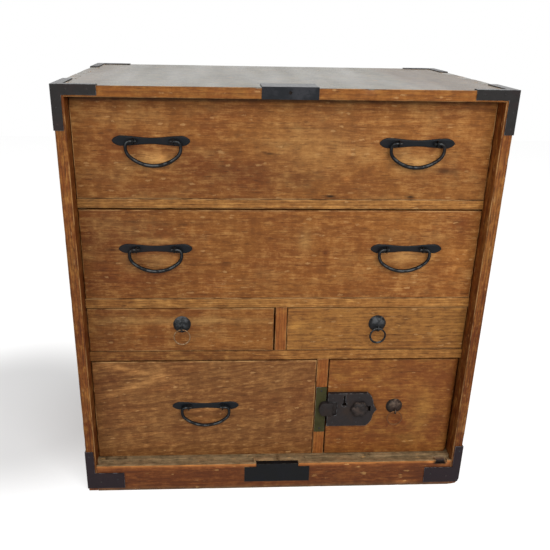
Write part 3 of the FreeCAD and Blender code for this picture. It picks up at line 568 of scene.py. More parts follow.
@cache
def timber_group() -> bpy.types.NodeTree:
    """Wood in the board's own coordinates: rings about the pith, fibres, blotches, flecks and wear.

    The mesh attribute grain holds metres along the fibres, across the board and through it, from the
    pith. A ring is the whole-number part of (distance from the pith + wander) / spacing, dark towards
    its end. A fleck is a cell of a stretched Voronoi pattern that its own random number picks. light
    brightens or darkens: pale and dark patches, a painted light slope across each board and painted
    shadows. gold and red tint, red also as painted shade on the inner faces of the sides; rim dirties,
    wear bares, scuff adds flecks and scratches. soil greys with dust, and also paints the top's grey
    sheen and the shade along the rails' top edges.
    """
    graph, given = shader_group("timber", ("Base", "Late", "Red", "Gold", "Pale", "Soil"), (
        "Spacing", "Rings", "Wander", "Blotch", "Streak", "Mottle", "Fleck", "Roughness"))
    grain = graph.attribute("grain", "Vector")
    late_colour, gold, streaks = given["Late"], given["Gold"], given["Streak"]

    def fibres(along: float, across: float, shift: float, detail: float = 2.0, rough: float = 0.5) -> Value:
        """Noise from 0 to 1 whose cells are 1/along long and 1/across wide, in metres."""
        return graph.noise(grain, (along, across, across), shift, detail, rough)

    def broken(name: str, noise: Value, *limits: float) -> Value:
        """A mesh attribute broken up by noise."""
        return graph.attribute(name) * graph.band(noise, *limits)

    wander = given["Wander"] * ((fibres(4, 16, 0) - 0.5) * 3.0 + (fibres(22, 90, 5) - 0.5) * 0.5)
    parts = graph.node("SeparateXYZ", {0: grain}).outputs
    pith = graph.math("SQRT", graph.math("POWER", parts[1], 2.0) + graph.math("POWER", parts[2], 2.0))
    count = (pith + wander) / given["Spacing"]
    phase = graph.math("FRACT", count)
    own = graph.value("TexWhiteNoise", {"W": graph.math("FLOOR", count)}, noise_dimensions="1D")
    late = graph.band(phase, 0.15, 0.88) * graph.band(phase, 1.0, 0.9) * (own * 0.7 + 0.3)

    fibre = fibres(40, 760, 1, 2, 0.6) - 0.5
    streak = fibres(44, 260, 2, 5, 0.74) - 0.5
    mottle = fibres(86, 130, 9, 6, 0.8) - 0.5
    smear = fibres(70, 20, 17, 3, 0.6) - 0.5
    sheen = fibres(24, 3, 21, 1) - 0.5
    blotch = graph.band(fibres(15, 24, 3, 5, 0.62), 0.42, 0.64)
    gilt = graph.band(fibres(20, 30, 11, 5, 0.66), 0.48, 0.68)
    dash = graph.band(fibres(60, 520, 4), 0.61, 0.68)
    tone = ((fibre * 1.5 + streak * 2.6) * streaks + (mottle * 3.4 + smear * 1.4) * given["Mottle"])

    scuff = graph.attribute("scuff")
    cell = graph.node("TexVoronoi", {"Vector": graph.place(grain, (110.0, 320.0, 320.0)), "Scale": 1.0},
                      feature="F1").outputs
    chance = graph.value("SeparateColor", {0: cell["Color"]})
    picked = graph.band(chance, 0.97 - (given["Fleck"] + scuff) * 0.2, 1.0, 0.0, 1.6)
    ragged = graph.band(mottle * 3.4 + Value(graph, cell["Distance"]), 0.42, 0.16)
    scratch = graph.band(graph.noise(grain, (38.0, 900.0, 60.0), detail=1.0, turn=0.62), 0.62, 0.70)
    fleck = graph.math("MAXIMUM", ragged * graph.math("MINIMUM", picked, 1.0), scratch * scuff * 0.8)

    rim = broken("rim", fibres(30, 60, 8, 4), 0.3, 0.62)
    wear_and_highlight = broken("wear_and_highlight", fibres(26, 40, 13, 4, 0.6), 0.40, 0.58)
    soil = broken("soil", fibres(20, 110, 15, 4, 0.7), 0.25, 0.55, 0.7, 1.0)

    # Dust colour; on the top it also paints the grey grazing sheen, and on the rails' top edges painted shade
    dust_and_painted_light_colour = graph.scaled(given["Soil"], graph.math("MAXIMUM", tone * 1.9 + 1.0, 0.3))
    bared = graph.math("MAXIMUM", fleck * 0.46, wear_and_highlight * 0.6)
    colour = given["Base"]
    for layer, share in ((given["Red"], blotch * given["Blotch"] + graph.attribute("red")),
                         (gold, gilt * given["Blotch"] * 0.8 + graph.attribute("gold")),
                         (late_colour, late * given["Rings"]),
                         (late_colour, tone * -0.9),
                         (graph.scaled(gold, 1.15), tone * 1.1)):
        colour = graph.mix(colour, layer, share)
    colour = graph.scaled(colour, tone * 0.3 + 1.0)
    for layer, share in ((graph.scaled(late_colour, 0.7), dash * streaks * 0.95),
                         (graph.scaled(late_colour, 0.5), rim * 0.42),
                         (dust_and_painted_light_colour, soil),
                         (given["Pale"], bared)):
        colour = graph.mix(colour, layer, share)
    rough = given["Roughness"] + streak * 0.25 + fleck * 0.1
    # The light attribute scales the colour: the painted light slope and painted shadows, besides real pale and
    # dark patches
    graph.node("NodeGroupOutput", {
        "Color": graph.scaled(colour, graph.attribute("light") + 1.0),
        "Roughness": graph.math("MAXIMUM", rough, 0.12),
        "Height": (late * given["Rings"] * 0.5 + fibre * 0.5 + mottle * 0.7 + fleck * -0.8 + dash * -0.5
                   + soil * streak * 0.8),
        "Coat": graph.attribute("soil") * (sheen * 1.3 + 1.0 + fibre * 0.8)})
    return graph.tree


@cache
def iron_group() -> bpy.types.NodeTree:
    """Old black iron in object coordinates: mottled skin, rust in patches, bright places, pits; the bright
    places are worn edges on plates and painted highlights on bails, rings, bosses and the knob.
    """
    graph, given = shader_group("black_iron", ("Base", "Rust", "Bright"), ("Rust Share", "Roughness"))
    place = graph.value("TexCoord", None, "Object")
    skin = graph.noise(place, (150.0,) * 3, 0.0, 5.0, 0.62)
    cloud = graph.noise(place, (38.0,) * 3, 3.0, 4.0, 0.6)
    pits = graph.band(graph.noise(place, (620.0,) * 3, 7.0, 3.0, 0.6), 0.58, 0.72)
    rust = graph.band(cloud, 0.46, 0.66) * (skin + 0.35) * given["Rust Share"]
    # Bright places: edge wear on plates, and painted highlights on the pieces given one
    rub = graph.attribute("wear_and_highlight") * graph.band(skin, 0.42, 0.6)
    colour = graph.mix(graph.scaled(given["Base"], skin * 0.9 + 0.55), given["Rust"], rust)
    colour = graph.mix(colour, given["Bright"], rub * 0.8)
    graph.node("NodeGroupOutput", {
        "Color": graph.mix(colour, graph.scaled(given["Base"], 0.4), pits * 0.5),
        "Roughness": given["Roughness"] + rust * 0.3 + pits * 0.15 + (skin - 0.5) * 0.3,
        "Height": skin * 0.8 + cloud * 0.6 + pits * -0.7,
        "Coat": graph.attribute("soil")})
    return graph.tree


# ---- finishes --------------------------------------------
class Finish:
    """A named material. Its fields name the inputs of its skin's group; lengths are in millimetres."""

    name: str
    skin: Any
    relief: float
    bump: float
    specular: float
    coat: float
    coat_roughness: float
    lengths = ("Spacing", "Wander")

    def material(self) -> bpy.types.Material:
        """The finish's material, made the first time a piece asks for it."""
        label = "dressed_" + self.name
        made = bpy.data.materials.get(label)
        if not made:
            made = bpy.data.materials.new(label)
            self.fill(Graph.of(made))
        return made

    def fill(self, graph: Graph) -> None:
        """Joins the skin to a Principled shader; wax or dust lies as a coat where the soil mask of dust and
        painted light is set.
        """
        group = graph.node("Group", node_tree=self.skin())
        for socket in group.inputs:
            value = getattr(self, socket.name.lower().replace(" ", "_"))
            if isinstance(value, tuple):
                value = linear(value)
            socket.default_value = value * MM if socket.name in self.lengths else value
        skin = group.outputs
        relief = graph.value("Bump", {"Strength": self.bump, "Distance": self.relief * MM,
                                      "Height": skin["Height"]})
        shader = graph.node("BsdfPrincipled", {
            "Base Color": skin["Color"], "Roughness": skin["Roughness"], "Normal": relief,
            "Specular IOR Level": self.specular, "Coat Roughness": self.coat_roughness, "Coat IOR": COAT_IOR})
        if self.coat:
            graph.feed(shader.inputs["Coat Weight"], Value(graph, skin["Coat"]) * self.coat)
        graph.node("OutputMaterial", {"Surface": shader.outputs[0]})


@dataclass(frozen=True)
class Wood(Finish):
    """Stained softwood: its colours, how far its rings lie apart and how strongly each effect shows."""

    name: str
    base: Colour
    late: Colour = (84, 46, 20)
    red: Colour = (118, 64, 26)
    gold: Colour = (158, 112, 54)
    pale: Colour = (196, 150, 96)
    soil: Colour = (112, 98, 74)
    spacing: float = 5.0
    rings: float = 0.35
    wander: float = 4.0
    blotch: float = 0.55
    streak: float = 0.5
    mottle: float = 0.5
    fleck: float = 0.3
    roughness: float = 0.52
    specular: float = 0.15
    coat: float = 0.0
    coat_roughness: float = 0.25
    bump: float = 0.35
    relief: float = 0.4

    skin = staticmethod(timber_group)


@dataclass(frozen=True)
class Iron(Finish):
    """Blackened iron: skin, rust and rubbed colours, share of rust and gloss."""

    name: str
    base: Colour
    rust: Colour = (70, 46, 34)
    bright: Colour = (120, 122, 124)
    rust_share: float = 0.4
    roughness: float = 0.45
    specular: float = 0.15
    coat: float = 0.0
    coat_roughness: float = 0.25
    bump: float = 0.4
    relief: float = 0.3

    skin = staticmethod(iron_group)


FRONT_WOOD = Wood("front_wood", (138, 86, 38), gold=(168, 124, 71), blotch=0.5, rings=0.3, spacing=6.0)
LINED_FRONT = Wood("lined_front_wood", (146, 98, 48), blotch=0.35, rings=0.5, spacing=4.4, streak=0.65)
WAVY_FRONT = Wood("wavy_front_wood", (120, 78, 41), red=(114, 66, 32), gold=(158, 114, 66), blotch=0.4,
                  streak=0.6, rings=0.5, spacing=7.0, wander=9.0)
DOOR_WOOD = Wood("door_wood", (128, 76, 34), red=(112, 58, 26), blotch=0.6, rings=0.25, spacing=8.0, fleck=0.1)
# soil: dust colour of up-facing faces; on the top and the sides' top ends it is partly a painted sheen for the
# top's grey reflection, on the rails a painted shade along their top edges
RAIL_WOOD = Wood("rail_wood", (153, 103, 50), gold=(180, 132, 72), soil=(78, 48, 22), blotch=0.4, rings=0.6,
                 spacing=3.4, wander=1.2, streak=0.6)
EDGE_WOOD = Wood("edge_wood", (128, 74, 32), late=(66, 32, 12), red=(104, 48, 12), soil=(82, 76, 58),
                 blotch=0.45, rings=0.6, spacing=3.6, wander=1.5, streak=0.7, coat=0.54, coat_roughness=0.22)
TOP_WOOD = Wood("top_wood", (139, 84, 34), soil=(82, 77, 58), rings=0.5, spacing=5.5, blotch=0.5, roughness=0.5,
                coat=0.54, coat_roughness=0.22)
PARTITION_WOOD = Wood("partition_wood", (144, 84, 38), late=(92, 48, 20), red=(128, 66, 26), blotch=0.4,
                      rings=0.5, spacing=3.6, streak=0.4, fleck=0.05)
BASE_WOOD = Wood("base_wood", (100, 53, 24), late=(60, 30, 16), red=(86, 44, 22), gold=(142, 90, 46),
                 pale=(196, 150, 92), soil=(104, 86, 62), fleck=0.1, mottle=0.35, rings=0.3, blotch=0.4)
INNER_WOOD = Wood("inner_wood", (176, 136, 92), late=(126, 84, 50), red=(150, 108, 68), gold=(188, 150, 104),
                  pale=(204, 170, 126), rings=0.45, blotch=0.35, streak=0.35, mottle=0.3, fleck=0.1,
                  roughness=0.7)
# bright: the colour of worn plate edges and of the painted highlight on bails, rings, bosses and the knob
HANDLE_IRON = Iron("handle_iron", (14, 16, 18), bright=(104, 106, 106), rust_share=0.15, roughness=0.4,
                   specular=0.12)
RING_IRON = Iron("ring_iron", (104, 74, 44), (80, 52, 34), (190, 158, 124), 0.3, 0.45)
DOOR_RING_IRON = Iron("door_ring_iron", (100, 62, 34), (84, 52, 30), (136, 94, 56), 0.3, 0.5)
BOSS_IRON = Iron("boss_iron", (24, 26, 28), (40, 36, 34), (96, 98, 100), 0.25, 0.5)
DOOR_BOSS_IRON = Iron("door_boss_iron", (36, 30, 26), bright=(110, 92, 78), rust_share=0.35, roughness=0.5)
KNOB_IRON = Iron("knob_iron", (34, 29, 28), (50, 38, 32), (86, 72, 64), 0.4, 0.5)
LOCK_IRON = Iron("lock_iron", (38, 33, 33), (54, 42, 34), rust_share=0.6, roughness=0.5)
STRIKE_IRON = Iron("strike_iron", (56, 54, 28), (46, 42, 20), rust_share=0.6, roughness=0.6)
STRAP_IRON = Iron("strap_iron", (36, 34, 33), (48, 34, 34), rust_share=0.5, roughness=0.5, coat=0.5)
BASE_STRAP_IRON = Iron("base_strap_iron", (34, 25, 29), (46, 34, 36), rust_share=0.5, roughness=0.5, coat=0.2)
PLATE_IRON = Iron("plate_iron", (9, 13, 18), bright=(40, 62, 80), rust_share=0.1, roughness=0.42)
LOW_IRON = Iron("low_iron", (6, 7, 9), (18, 19, 24), (70, 68, 60), 0.5, 0.5)
CENTRE_IRON = Iron("centre_iron", (24, 26, 30), (62, 62, 66), (118, 122, 130), 0.6, 0.5, coat=0.5)
NAIL_IRON = Iron("nail_iron", (44, 42, 42), rust_share=0.3, roughness=0.4)


# ---- boards and their marks ------------------------------
class Tone(Enum):
    """What a mark changes on the wood."""

    # light: pale and dark patches of the wood, and painted shadows as well
    LIGHT = "light"
    GOLD = "gold"
    RED = "red"
    SCUFF = "scuff"
    SOIL = "soil"


@dataclass(frozen=True)
class Mark:
    """Oval on the front of a board: amount.exp(-|u/long|^p - |v/short|^p), in millimetres; p sharpens it."""

    tone: Tone
    x: float
    z: float
    long: float
    short: float
    amount: float
    turn: float = 0.0
    power: float = 2.0
    deep: float = 30.0

    def on(self, points: Array) -> Array:
        """Strength of the mark at each point; it fades out within the last 4 mm of its depth."""
        angle = math.radians(self.turn)
        dx, dz = points[:, 0] / MM - self.x, points[:, 2] / MM - self.z
        u = dx * math.cos(angle) + dz * math.sin(angle)
        v = dz * math.cos(angle) - dx * math.sin(angle)
        behind = (points[:, 1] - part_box(OUTER_BOARD)[0].y) / MM
        near = np.clip((self.deep - behind) / 4, 0, 1)
        return self.amount * near * np.exp(-np.abs(u / self.long) ** self.power
                                           - np.abs(v / self.short) ** self.power)


def ovals(**rows: tuple[tuple[float, ...], ...]) -> tuple[Mark, ...]:
    """Marks in rows of x, z, half length, half height, amount, turn, power and depth for each tone."""
    return tuple(Mark(Tone(tone), *row) for tone, group in rows.items() for row in group)


RELIEF_SCALES = (0.02, 0.09, 0.11)    # cells per millimetre of a board's wave, fine relief and bites
BITE_FROM = 0.35             # noise above this bites an edge
LIGHT_GAIN, DARKEST = 1.4, -0.97      # of the light marks; -1 would be black
SOILED_BELOW_TOP = 5.0       # height of the soil behind a rail's lip, in millimetres


@dataclass(frozen=True)
class Board:
    """One node of wood: how its fibres run, how it is cut into cells, rounded, worn and toned."""

    node: str
    slot: str
    finish: Wood
    along: Axis
    depth: Axis
    seed: int
    pith: Pair = (10.0, 70.0)
    bevel: float = 0.7
    cell: float = 8.0
    rise: float = 0.25
    nick: float = 0.0
    # painted light: a brightness gradient across the board, by share of its size on each axis
    slope: Point = (0.0, 0.0, 0.0)
    marks: tuple[Mark, ...] = ()
    # Up-facing faces take the finish's soil colour: dust, a painted sheen on the top and a painted shade along
    # the rails' top edges
    soiled_top: bool = False
    soiled_behind: float = 0.0
    # painted shade on the inner face behind the front edge, as a red tint
    red_behind: float = 0.0
    worn_corner: float = 0.0
    lean: float = 0.0

    def build(self) -> None:
        """Cuts the node into cells, wears it down, writes its attributes and adds it.

        The skin lies low by rise.(0.6 + 0.4.wave).(0.75 + 0.25.fine) / 2; bites nick the rounded edges.
        """
        mesh, points, corners = cut_node(self.node, "wood_", self.depth, self.cell, self.bevel)
        rim = np.zeros(len(points))
        np.maximum.at(rim, corner_points(mesh), corners)
        wave, fine, bite = (lattice_noise(points / MM * scale + self.seed, self.seed + number)
                            for number, scale in enumerate(RELIEF_SCALES))
        sink = self.rise * (0.6 + 0.4 * wave) * (0.75 + 0.25 * fine) * 0.5
        sink += self.nick * (np.maximum(bite - BITE_FROM, 0) * rim)
        wear_down(mesh, points, sink, self.worn_corner, WOOD_SHARP)
        self.write(mesh, points, rim, corners)
        mesh.update()
        new_object("wood_" + self.node, mesh, Source.of(self.node, self.slot), self.finish)

    def write(self, mesh: Mesh, points: Array, rim: Array, corners: Array) -> None:
        """Writes grain, rim, wear, the soil mask of dust and painted light, the painted light slope and the
        tones of the marks.

        Args:
            mesh: the board's mesh.
            points: its places before it was worn.
            rim: 1 on points that touch a rounded edge.
            corners: 1 on corners of the rounded edges' faces.
        """
        low, high = corners_of(self.node)
        along, depth = self.along.value, self.depth.value
        across = 3 - along - depth
        middle = (low + high) / 2
        start = np.random.default_rng(self.seed).uniform(0, 9)
        leant = self.lean * (points[:, along] - middle[along])
        grain = np.stack([points[:, along] + start,
                          points[:, across] - middle[across] - leant + self.pith[0] * MM,
                          points[:, depth] - middle[depth] + self.pith[1] * MM], axis=1)
        tones = {tone: sum((mark.on(points) for mark in self.marks if mark.tone is tone),
                           np.zeros(len(points))) for tone in Tone}
        inner = np.abs(points[:, 0]) < abs(low[0] + high[0]) / 2
        # Painted shade: the inner face behind the front edge is reddened and darkened, as it lies in the shade
        # of the recess
        tones[Tone.RED] += self.red_behind * inner * np.clip((points[:, 1] - low[1]) / (4 * MM) - 0.3, 0, 1)
        share = (points - low) / np.maximum(high - low, 1e-9) - 0.5
        lit, soil = LIGHT_GAIN * tones[Tone.LIGHT], tones[Tone.SOIL][corner_points(mesh)]
        # Up-facing faces take the soil colour: dust, with a painted sheen on the top and a painted shade on the
        # rails
        if self.soiled_top:
            soil = np.maximum(soil, corners_facing_up(mesh)) + np.minimum(soil, 0)
        if self.soiled_behind:
            behind = ((points[:, 1] > low[1] + self.soiled_behind * MM)
                      & (points[:, 2] > high[2] - SOILED_BELOW_TOP * MM))
            soil = np.maximum(soil, behind[corner_points(mesh)])
        bare = np.clip(1 + lit, 0, 1)[corner_points(mesh)]
        store(mesh, "grain", grain)
        store(mesh, "rim", rim)
        # Painted light: the slope across the board, plus the light marks, which hold pale and dark patches and
        # painted shadows
        store(mesh, "light", share @ np.array(self.slope) + np.maximum(lit, DARKEST))
        for tone in (Tone.GOLD, Tone.RED, Tone.SCUFF):
            store(mesh, tone.value, tones[tone])
        store(mesh, "wear_and_highlight", corners, "CORNER")
        store(mesh, "soil", np.maximum(soil * bare, 0), "CORNER")


# Rows of ovals: x, z, half length, half height, amount, turn, power and depth, as in Mark.
DOOR_MARKS = ovals(
    # The first two light rows darken the wood under the lock case: painted shade seen through its openings
    light=((99, 120.5, 29, 25, -0.97, 0, 8), (133, 120, 9, 7, -0.97, 0, 6), (170, 72, 34, 3, -0.2),
           (150, 84, 44, 2.4, -0.14)),
    gold=((214, 110, 12, 34, 0.6),),
    red=((190, 92, 40, 10, 0.5),),
    scuff=((105, 160, 30, 5, 0.4),))
UPPER_MARKS = ovals(
    # The first light row darkens the top edge of the front: a painted shadow of the top board
    light=((0, 547, 330, 3.2, -0.55, 0, 6), (-162, 475, 20, 8, 0.34), (-150, 477, 4, 3, 0.4),
           (-158, 462, 14, 2, 0.4, -12), (165, 473, 18, 5, 0.26), (202, 463, 13, 3.2, -0.5),
           (218, 458, 4, 9, -0.2, 20), (162, 429.5, 5, 1.6, -0.85), (59, 430, 6, 1.6, -0.8),
           (30, 513, 60, 1, -0.35, -1), (140, 431, 3, 1.4, 0.4), (-19, 483, 6, 1.2, -0.5), (80, 485, 3, 4, 0.3),
           (78, 452, 5, 3, 0.35), (25, 450, 20, 12, -0.08), (-60, 462, 80, 22, -0.08)),
    gold=((-162, 474, 24, 9, 0.9), (165, 471, 26, 11, 0.8), (35, 492, 60, 34, 0.4)),
    red=((-190, 470, 130, 90, 0.2), (204, 462, 16, 6, 0.8), (-33, 470, 8, 5, 0.8), (25, 450, 22, 14, 0.35),
         (-70, 465, 90, 26, 0.5)),
    scuff=((-162, 474, 22, 10, 1.3), (165, 470, 26, 12, 1), (60, 440, 200, 9, 0.4)))
MIDDLE_MARKS = ovals(
    light=((-160, 371, 24, 5, 0.12), (-146, 343, 14, 6, 0.24), (-137, 346, 4, 3, 0.3), (-150, 375, 5, 3, 0.3),
           (-86, 308, 20, 9, 0.1), (-219, 360, 9, 1.4, -0.4), (-125, 393, 6, 1, -0.6), (-73, 341, 7, 1.2, -0.4),
           (-190, 350, 70, 60, -0.06, 0, 4), (57, 355, 2.6, 2.4, -0.35), (165, 352, 24, 8, 0.06),
           (232, 336, 10, 22, 0.12), (-205, 325, 20, 40, 0.07), (-122, 390, 3, 12, 0.14),
           (-95, 372, 2.5, 10, 0.16), (-170, 395, 3, 8, 0.12), (240, 390, 12, 16, -0.08)),
    gold=((-160, 371, 26, 4, 0.9), (-158, 345, 22, 9, 0.6), (29, 371, 9, 14, 0.7), (165, 351, 26, 9, 0.8)),
    red=((-190, 350, 130, 90, 0.35), (-175, 345, 12, 9, 0.5), (-200, 350, 60, 55, 0.35, 0, 4),
         (57, 355, 4, 4, 0.9), (0, 294, 300, 3, 0.25), (235, 395, 14, 14, 0.6)),
    scuff=((-158, 346, 28, 12, 1.2), (-100, 379, 9, 6, 1.3), (-86, 308, 24, 12, 1), (181, 313, 50, 14, 0.7)))
SMALL_LEFT_MARKS = ovals(
    light=((-130, 235, 160, 60, -0.1, 0, 8), (-190, 243, 8, 5, 0.18), (-150, 252, 14, 3, 0.16),
           (-85, 232, 40, 8, 0.08), (-175, 217, 20, 4, 0.12), (-235, 235, 30, 50, -0.08)),
    gold=((-120, 259, 140, 5, 0.6),),
    red=((-190, 230, 90, 90, 0.4),),
    scuff=((-85, 234, 45, 14, 1.2), (-180, 217, 50, 5, 1)))
SMALL_RIGHT_MARKS = ovals(
    light=((22, 250, 14, 5, 0.2), (120, 220, 120, 6, 0.04)),
    gold=((22, 250, 16, 6, 0.8),),
    scuff=((60, 235, 60, 30, 0.5), (200, 235, 60, 40, 0.3)))
LOWER_MARKS = ovals(
    light=((-211.7, 186.5, 40, 4.2, 0.34, -14), (-208, 156, 38, 5, 0.3, 19), (-164, 173, 13, 8, 0.32),
           (-160, 156, 24, 4, 0.24, 16), (-228, 171, 26, 9, -0.1, 3), (-112, 106, 18, 2.2, 0.4, 8),
           (-96, 100, 20, 2.2, 0.4, 10), (-100, 120, 30, 2, 0.35, 6), (-85, 92, 24, 2.2, 0.3, 8),
           (-190, 100, 40, 2.4, 0.2, 6), (-200, 78, 44, 2.4, 0.2, 8), (-185, 60, 50, 2.6, 0.18, 6),
           (-205, 120, 36, 2.4, 0.16, 4), (20, 150, 60, 30, -0.05)),
    gold=((-211.7, 187, 38, 3.6, 0.5, -14), (-208, 156, 36, 4.2, 0.5, 19), (-164, 173, 14, 9, 0.5)),
    red=((-225, 171, 28, 8, 0.6, 3), (20, 150, 60, 40, 0.4), (-120, 190, 26, 8, 0.5)),
    scuff=((-60, 180, 70, 20, 0.4),))
LEFT_EDGE_MARKS = ovals(
    light=((-265, 200, 30, 190, -0.08, 0, 8, 400), (-262, 160, 3, 26, 0.22)),
    red=((-265, 280, 30, 400, 0.35, 0, 8, 400),),
    scuff=((-266, 120, 4, 40, 0.9), (-264, 300, 4, 60, 0.6)))
RIGHT_EDGE_MARKS = ovals(
    light=((265, 150, 40, 130, -0.1, 0, 4, 400), (270, 130, 2.2, 60, 0.2)),
    red=((265, 150, 40, 130, 0.5, 0, 4, 400),),
    scuff=((268, 110, 4, 40, 1.2), (266, 400, 4, 90, 0.6)))
TOP_MARKS = ovals(
    # The first light row darkens the wood behind the centre plate's hole: painted shade in the hole
    light=((0, 554, 22, 9, -0.95, 0, 8, 9), (-60, 544, 12, 1.2, 0.3), (250, 570, 90, 8.2, -0.18, 0, 20, 400)),
    gold=((-27, 553, 5, 9, 0.8), (-60, 544, 60, 1.4, 0.8)),
    soil=((-258, 560, 40, 400, -0.12, 0, 4, 400),))
BASE_MARKS = ovals(
    light=((0, 40, 400, 5, 0.5), (2.4, 43, 1.6, 3, 0.18), (0, 42, 400, 1.8, 0.36, 0, 2, 9),
           (190, 6.5, 12, 2.4, 0.5), (242, 39.4, 9, 2.8, -1.8, 0, 6, 8), (228, 40, 5, 2.2, 0.8, 0, 2, 8),
           (253, 39, 2, 5, 0.8, 0, 2, 8), (222, 39, 6, 1.5, -0.4)),
    gold=((0, 42, 400, 3, 0.5), (0, 42, 400, 2, 1.2, 0, 2, 9), (190, 6.5, 12, 2.4, 1), (230, 41, 5, 1.8, 1),
          (247, 36.4, 6, 1.1, 0.8)),
    scuff=((110, 22, 50, 12, 0.5), (62, 30, 8, 8, 1)),
    soil=((0, 0, 400, 3.5, 0.8),))
LOWER_RAIL_MARKS = ovals(light=((-170, 200, 150, 60, -0.17, 0, 4),), red=((-170, 200, 150, 60, 0.6, 0, 4),))


# ---- the wooden sub-assemblies ---------------------------
@dataclass(frozen=True)
class Case:
    """The case: sides, top, base, shelves with their front rails, partitions and back."""

    edge_pith: Pair = (180.0, 55.0)
    partition_pith: Pair = (164.0, 60.0)
    plank_step: Point = (1.7, 0.03, 0.0)
    plank_pith: Point = (0.0, 0.0, 0.08)
    planks: int = 3

    def boards(self) -> list[Board]:
        """Every board of the case but the back planks."""
        # The third number of each side is a painted light slope, brighter towards its top
        made = [Board("side_" + side, "case_wood", EDGE_WOOD, Z, X, seed, self.edge_pith, bevel=0.9,
                      rise=0.3, nick=0.9, slope=(0, 0, slope), soiled_top=True, red_behind=0.9,
                      worn_corner=corner, marks=marks)
                for side, seed, slope, corner, marks in (("left", 11, 0.1, 0.0, LEFT_EDGE_MARKS),
                                                         ("right", 12, 0.25, CORNER_WEAR, RIGHT_EDGE_MARKS))]
        made += [
            Board("top_board", "case_wood", TOP_WOOD, X, Z, 13, (180.0, 60.0), bevel=0.5, cell=6.0,
                  rise=0.3, nick=1.0, slope=(0.2, 0, 0), soiled_top=True, marks=TOP_MARKS),
            Board("base_front_rail", "base_wood", BASE_WOOD, X, Y, 14, (45.0, 60.0), bevel=0.9, cell=2.4,
                  rise=0.3, nick=0.5, soiled_top=True, soiled_behind=2.0, worn_corner=CORNER_WEAR,
                  marks=BASE_MARKS),
            Board("bottom_board", "inner_wood", INNER_WOOD, X, Z, 15, cell=30.0)]
        made += [Board("partition_" + name, "rail_wood", PARTITION_WOOD, Z, X, seed,
                       self.partition_pith, cell=12.0) for name, seed in (("small", 16), ("lower", 17))]
        # The middle number of each rail is a painted light slope, brighter towards its right
        for number, (name, slope, marks) in enumerate((("upper", 0.42, ()), ("middle", 0.4, ()),
                                                       ("lower", 0.1, LOWER_RAIL_MARKS))):
            made.append(Board("rail_" + name, "rail_wood", RAIL_WOOD, X, Y, 20 + number, (120.0, 40.0),
                              bevel=0.8, cell=6.0, rise=0.2, nick=0.8, slope=(slope, 0, 0), soiled_top=True,
                              marks=marks))
            made.append(Board("shelf_" + name, "inner_wood", INNER_WOOD, X, Z, 30 + number, cell=40.0))
        return made

    def back(self) -> None:
        """Adds the planks, each a rounded block, standing for the back."""
        low, high = corners_of("back_boards")
        limits = np.linspace(low[2], high[2], self.planks + 1)
        blocks = [rounded_block(np.array([*low[:2], z0]), np.array([*high[:2], z1]), 0.8 * MM)
                  for z0, z1 in zip(limits[:-1], limits[1:])]
        mesh = mesh_from(Surface.joined(blocks), "wood_back")
        points = points_of(mesh)
        plank = np.clip(np.searchsorted(limits, points[:, 2]) - 1, 0, self.planks - 1)
        shift = plank[:, None] * np.array(self.plank_step) + np.array(self.plank_pith)
        store(mesh, "grain", points[:, [0, 2, 1]] + shift)
        new_object("wood_back", mesh, Source.of("back_boards", "inner_wood"), INNER_WOOD)

    def build(self) -> None:
        """Adds the whole case."""
        for board in self.boards():
            board.build()
        self.back()


@dataclass(frozen=True)
class Drawer:
    """One drawer: a dressed front and a plain box of thinner boards."""

    name: str
    finish: Wood
    seed: int
    pith: Pair
    # painted light slope across the front
    slope: Point
    marks: tuple[Mark, ...]
    lean: float = 0.0

    def build(self) -> None:
        """Adds the front, the sides, the back and the bottom."""
        node = "drawer_" + self.name
        Board(node + "_front", "front_wood", self.finish, X, Y, self.seed, self.pith, bevel=0.9, cell=2.2,
              rise=0.35, nick=0.7, slope=self.slope, marks=self.marks, lean=self.lean).build()
        for number, (part, along, depth, bevel, cell) in enumerate((
                ("_sides", Y, X, 0.5, 45.0), ("_back", X, Y, 0.5, 45.0),
                ("_bottom", X, Z, 0.4, 60.0)), start=1):
            Board(node + part, "inner_wood", INNER_WOOD, along, depth, self.seed + number, (0.0, 60.0),
                  bevel=bevel, cell=cell).build()


# ---- bail handles and ring pulls -------------------------
@dataclass(frozen=True)
class PaintedHighlight:
    """Painted highlight on the side of an iron piece that faces the light: from 0 at the limit to 1 where a
    normal points along the direction.
    """

    direction: Point
    limit: float
    within: Point | None = None

    def write(self, mesh: Mesh) -> None:
        """Writes the painted highlight into the attribute shared with edge wear, kept to the round of x, z and
        radius within, if there is one.
        """
        facing = np.clip((normals_of(mesh) @ np.array(self.direction) - self.limit) / (1 - self.limit), 0, 1)
        if self.within:
            x, z, radius = self.within
            points = points_of(mesh)
            facing *= np.hypot(points[:, 0] - x, points[:, 2] - z) < radius
        store(mesh, "wear_and_highlight", facing)


def add_iron(node: str, slot: str, parts: Sequence[Surface], finish: Iron, rub: PaintedHighlight | None = None) -> None:
    """Adds an iron piece that stands for a node, made of some shapes, with a painted highlight where it says.
    """
    mesh = mesh_from(Surface.joined(parts), node)
    if rub:
        rub.write(mesh)
    new_object("iron_" + node, mesh, Source.of(node, slot), finish)


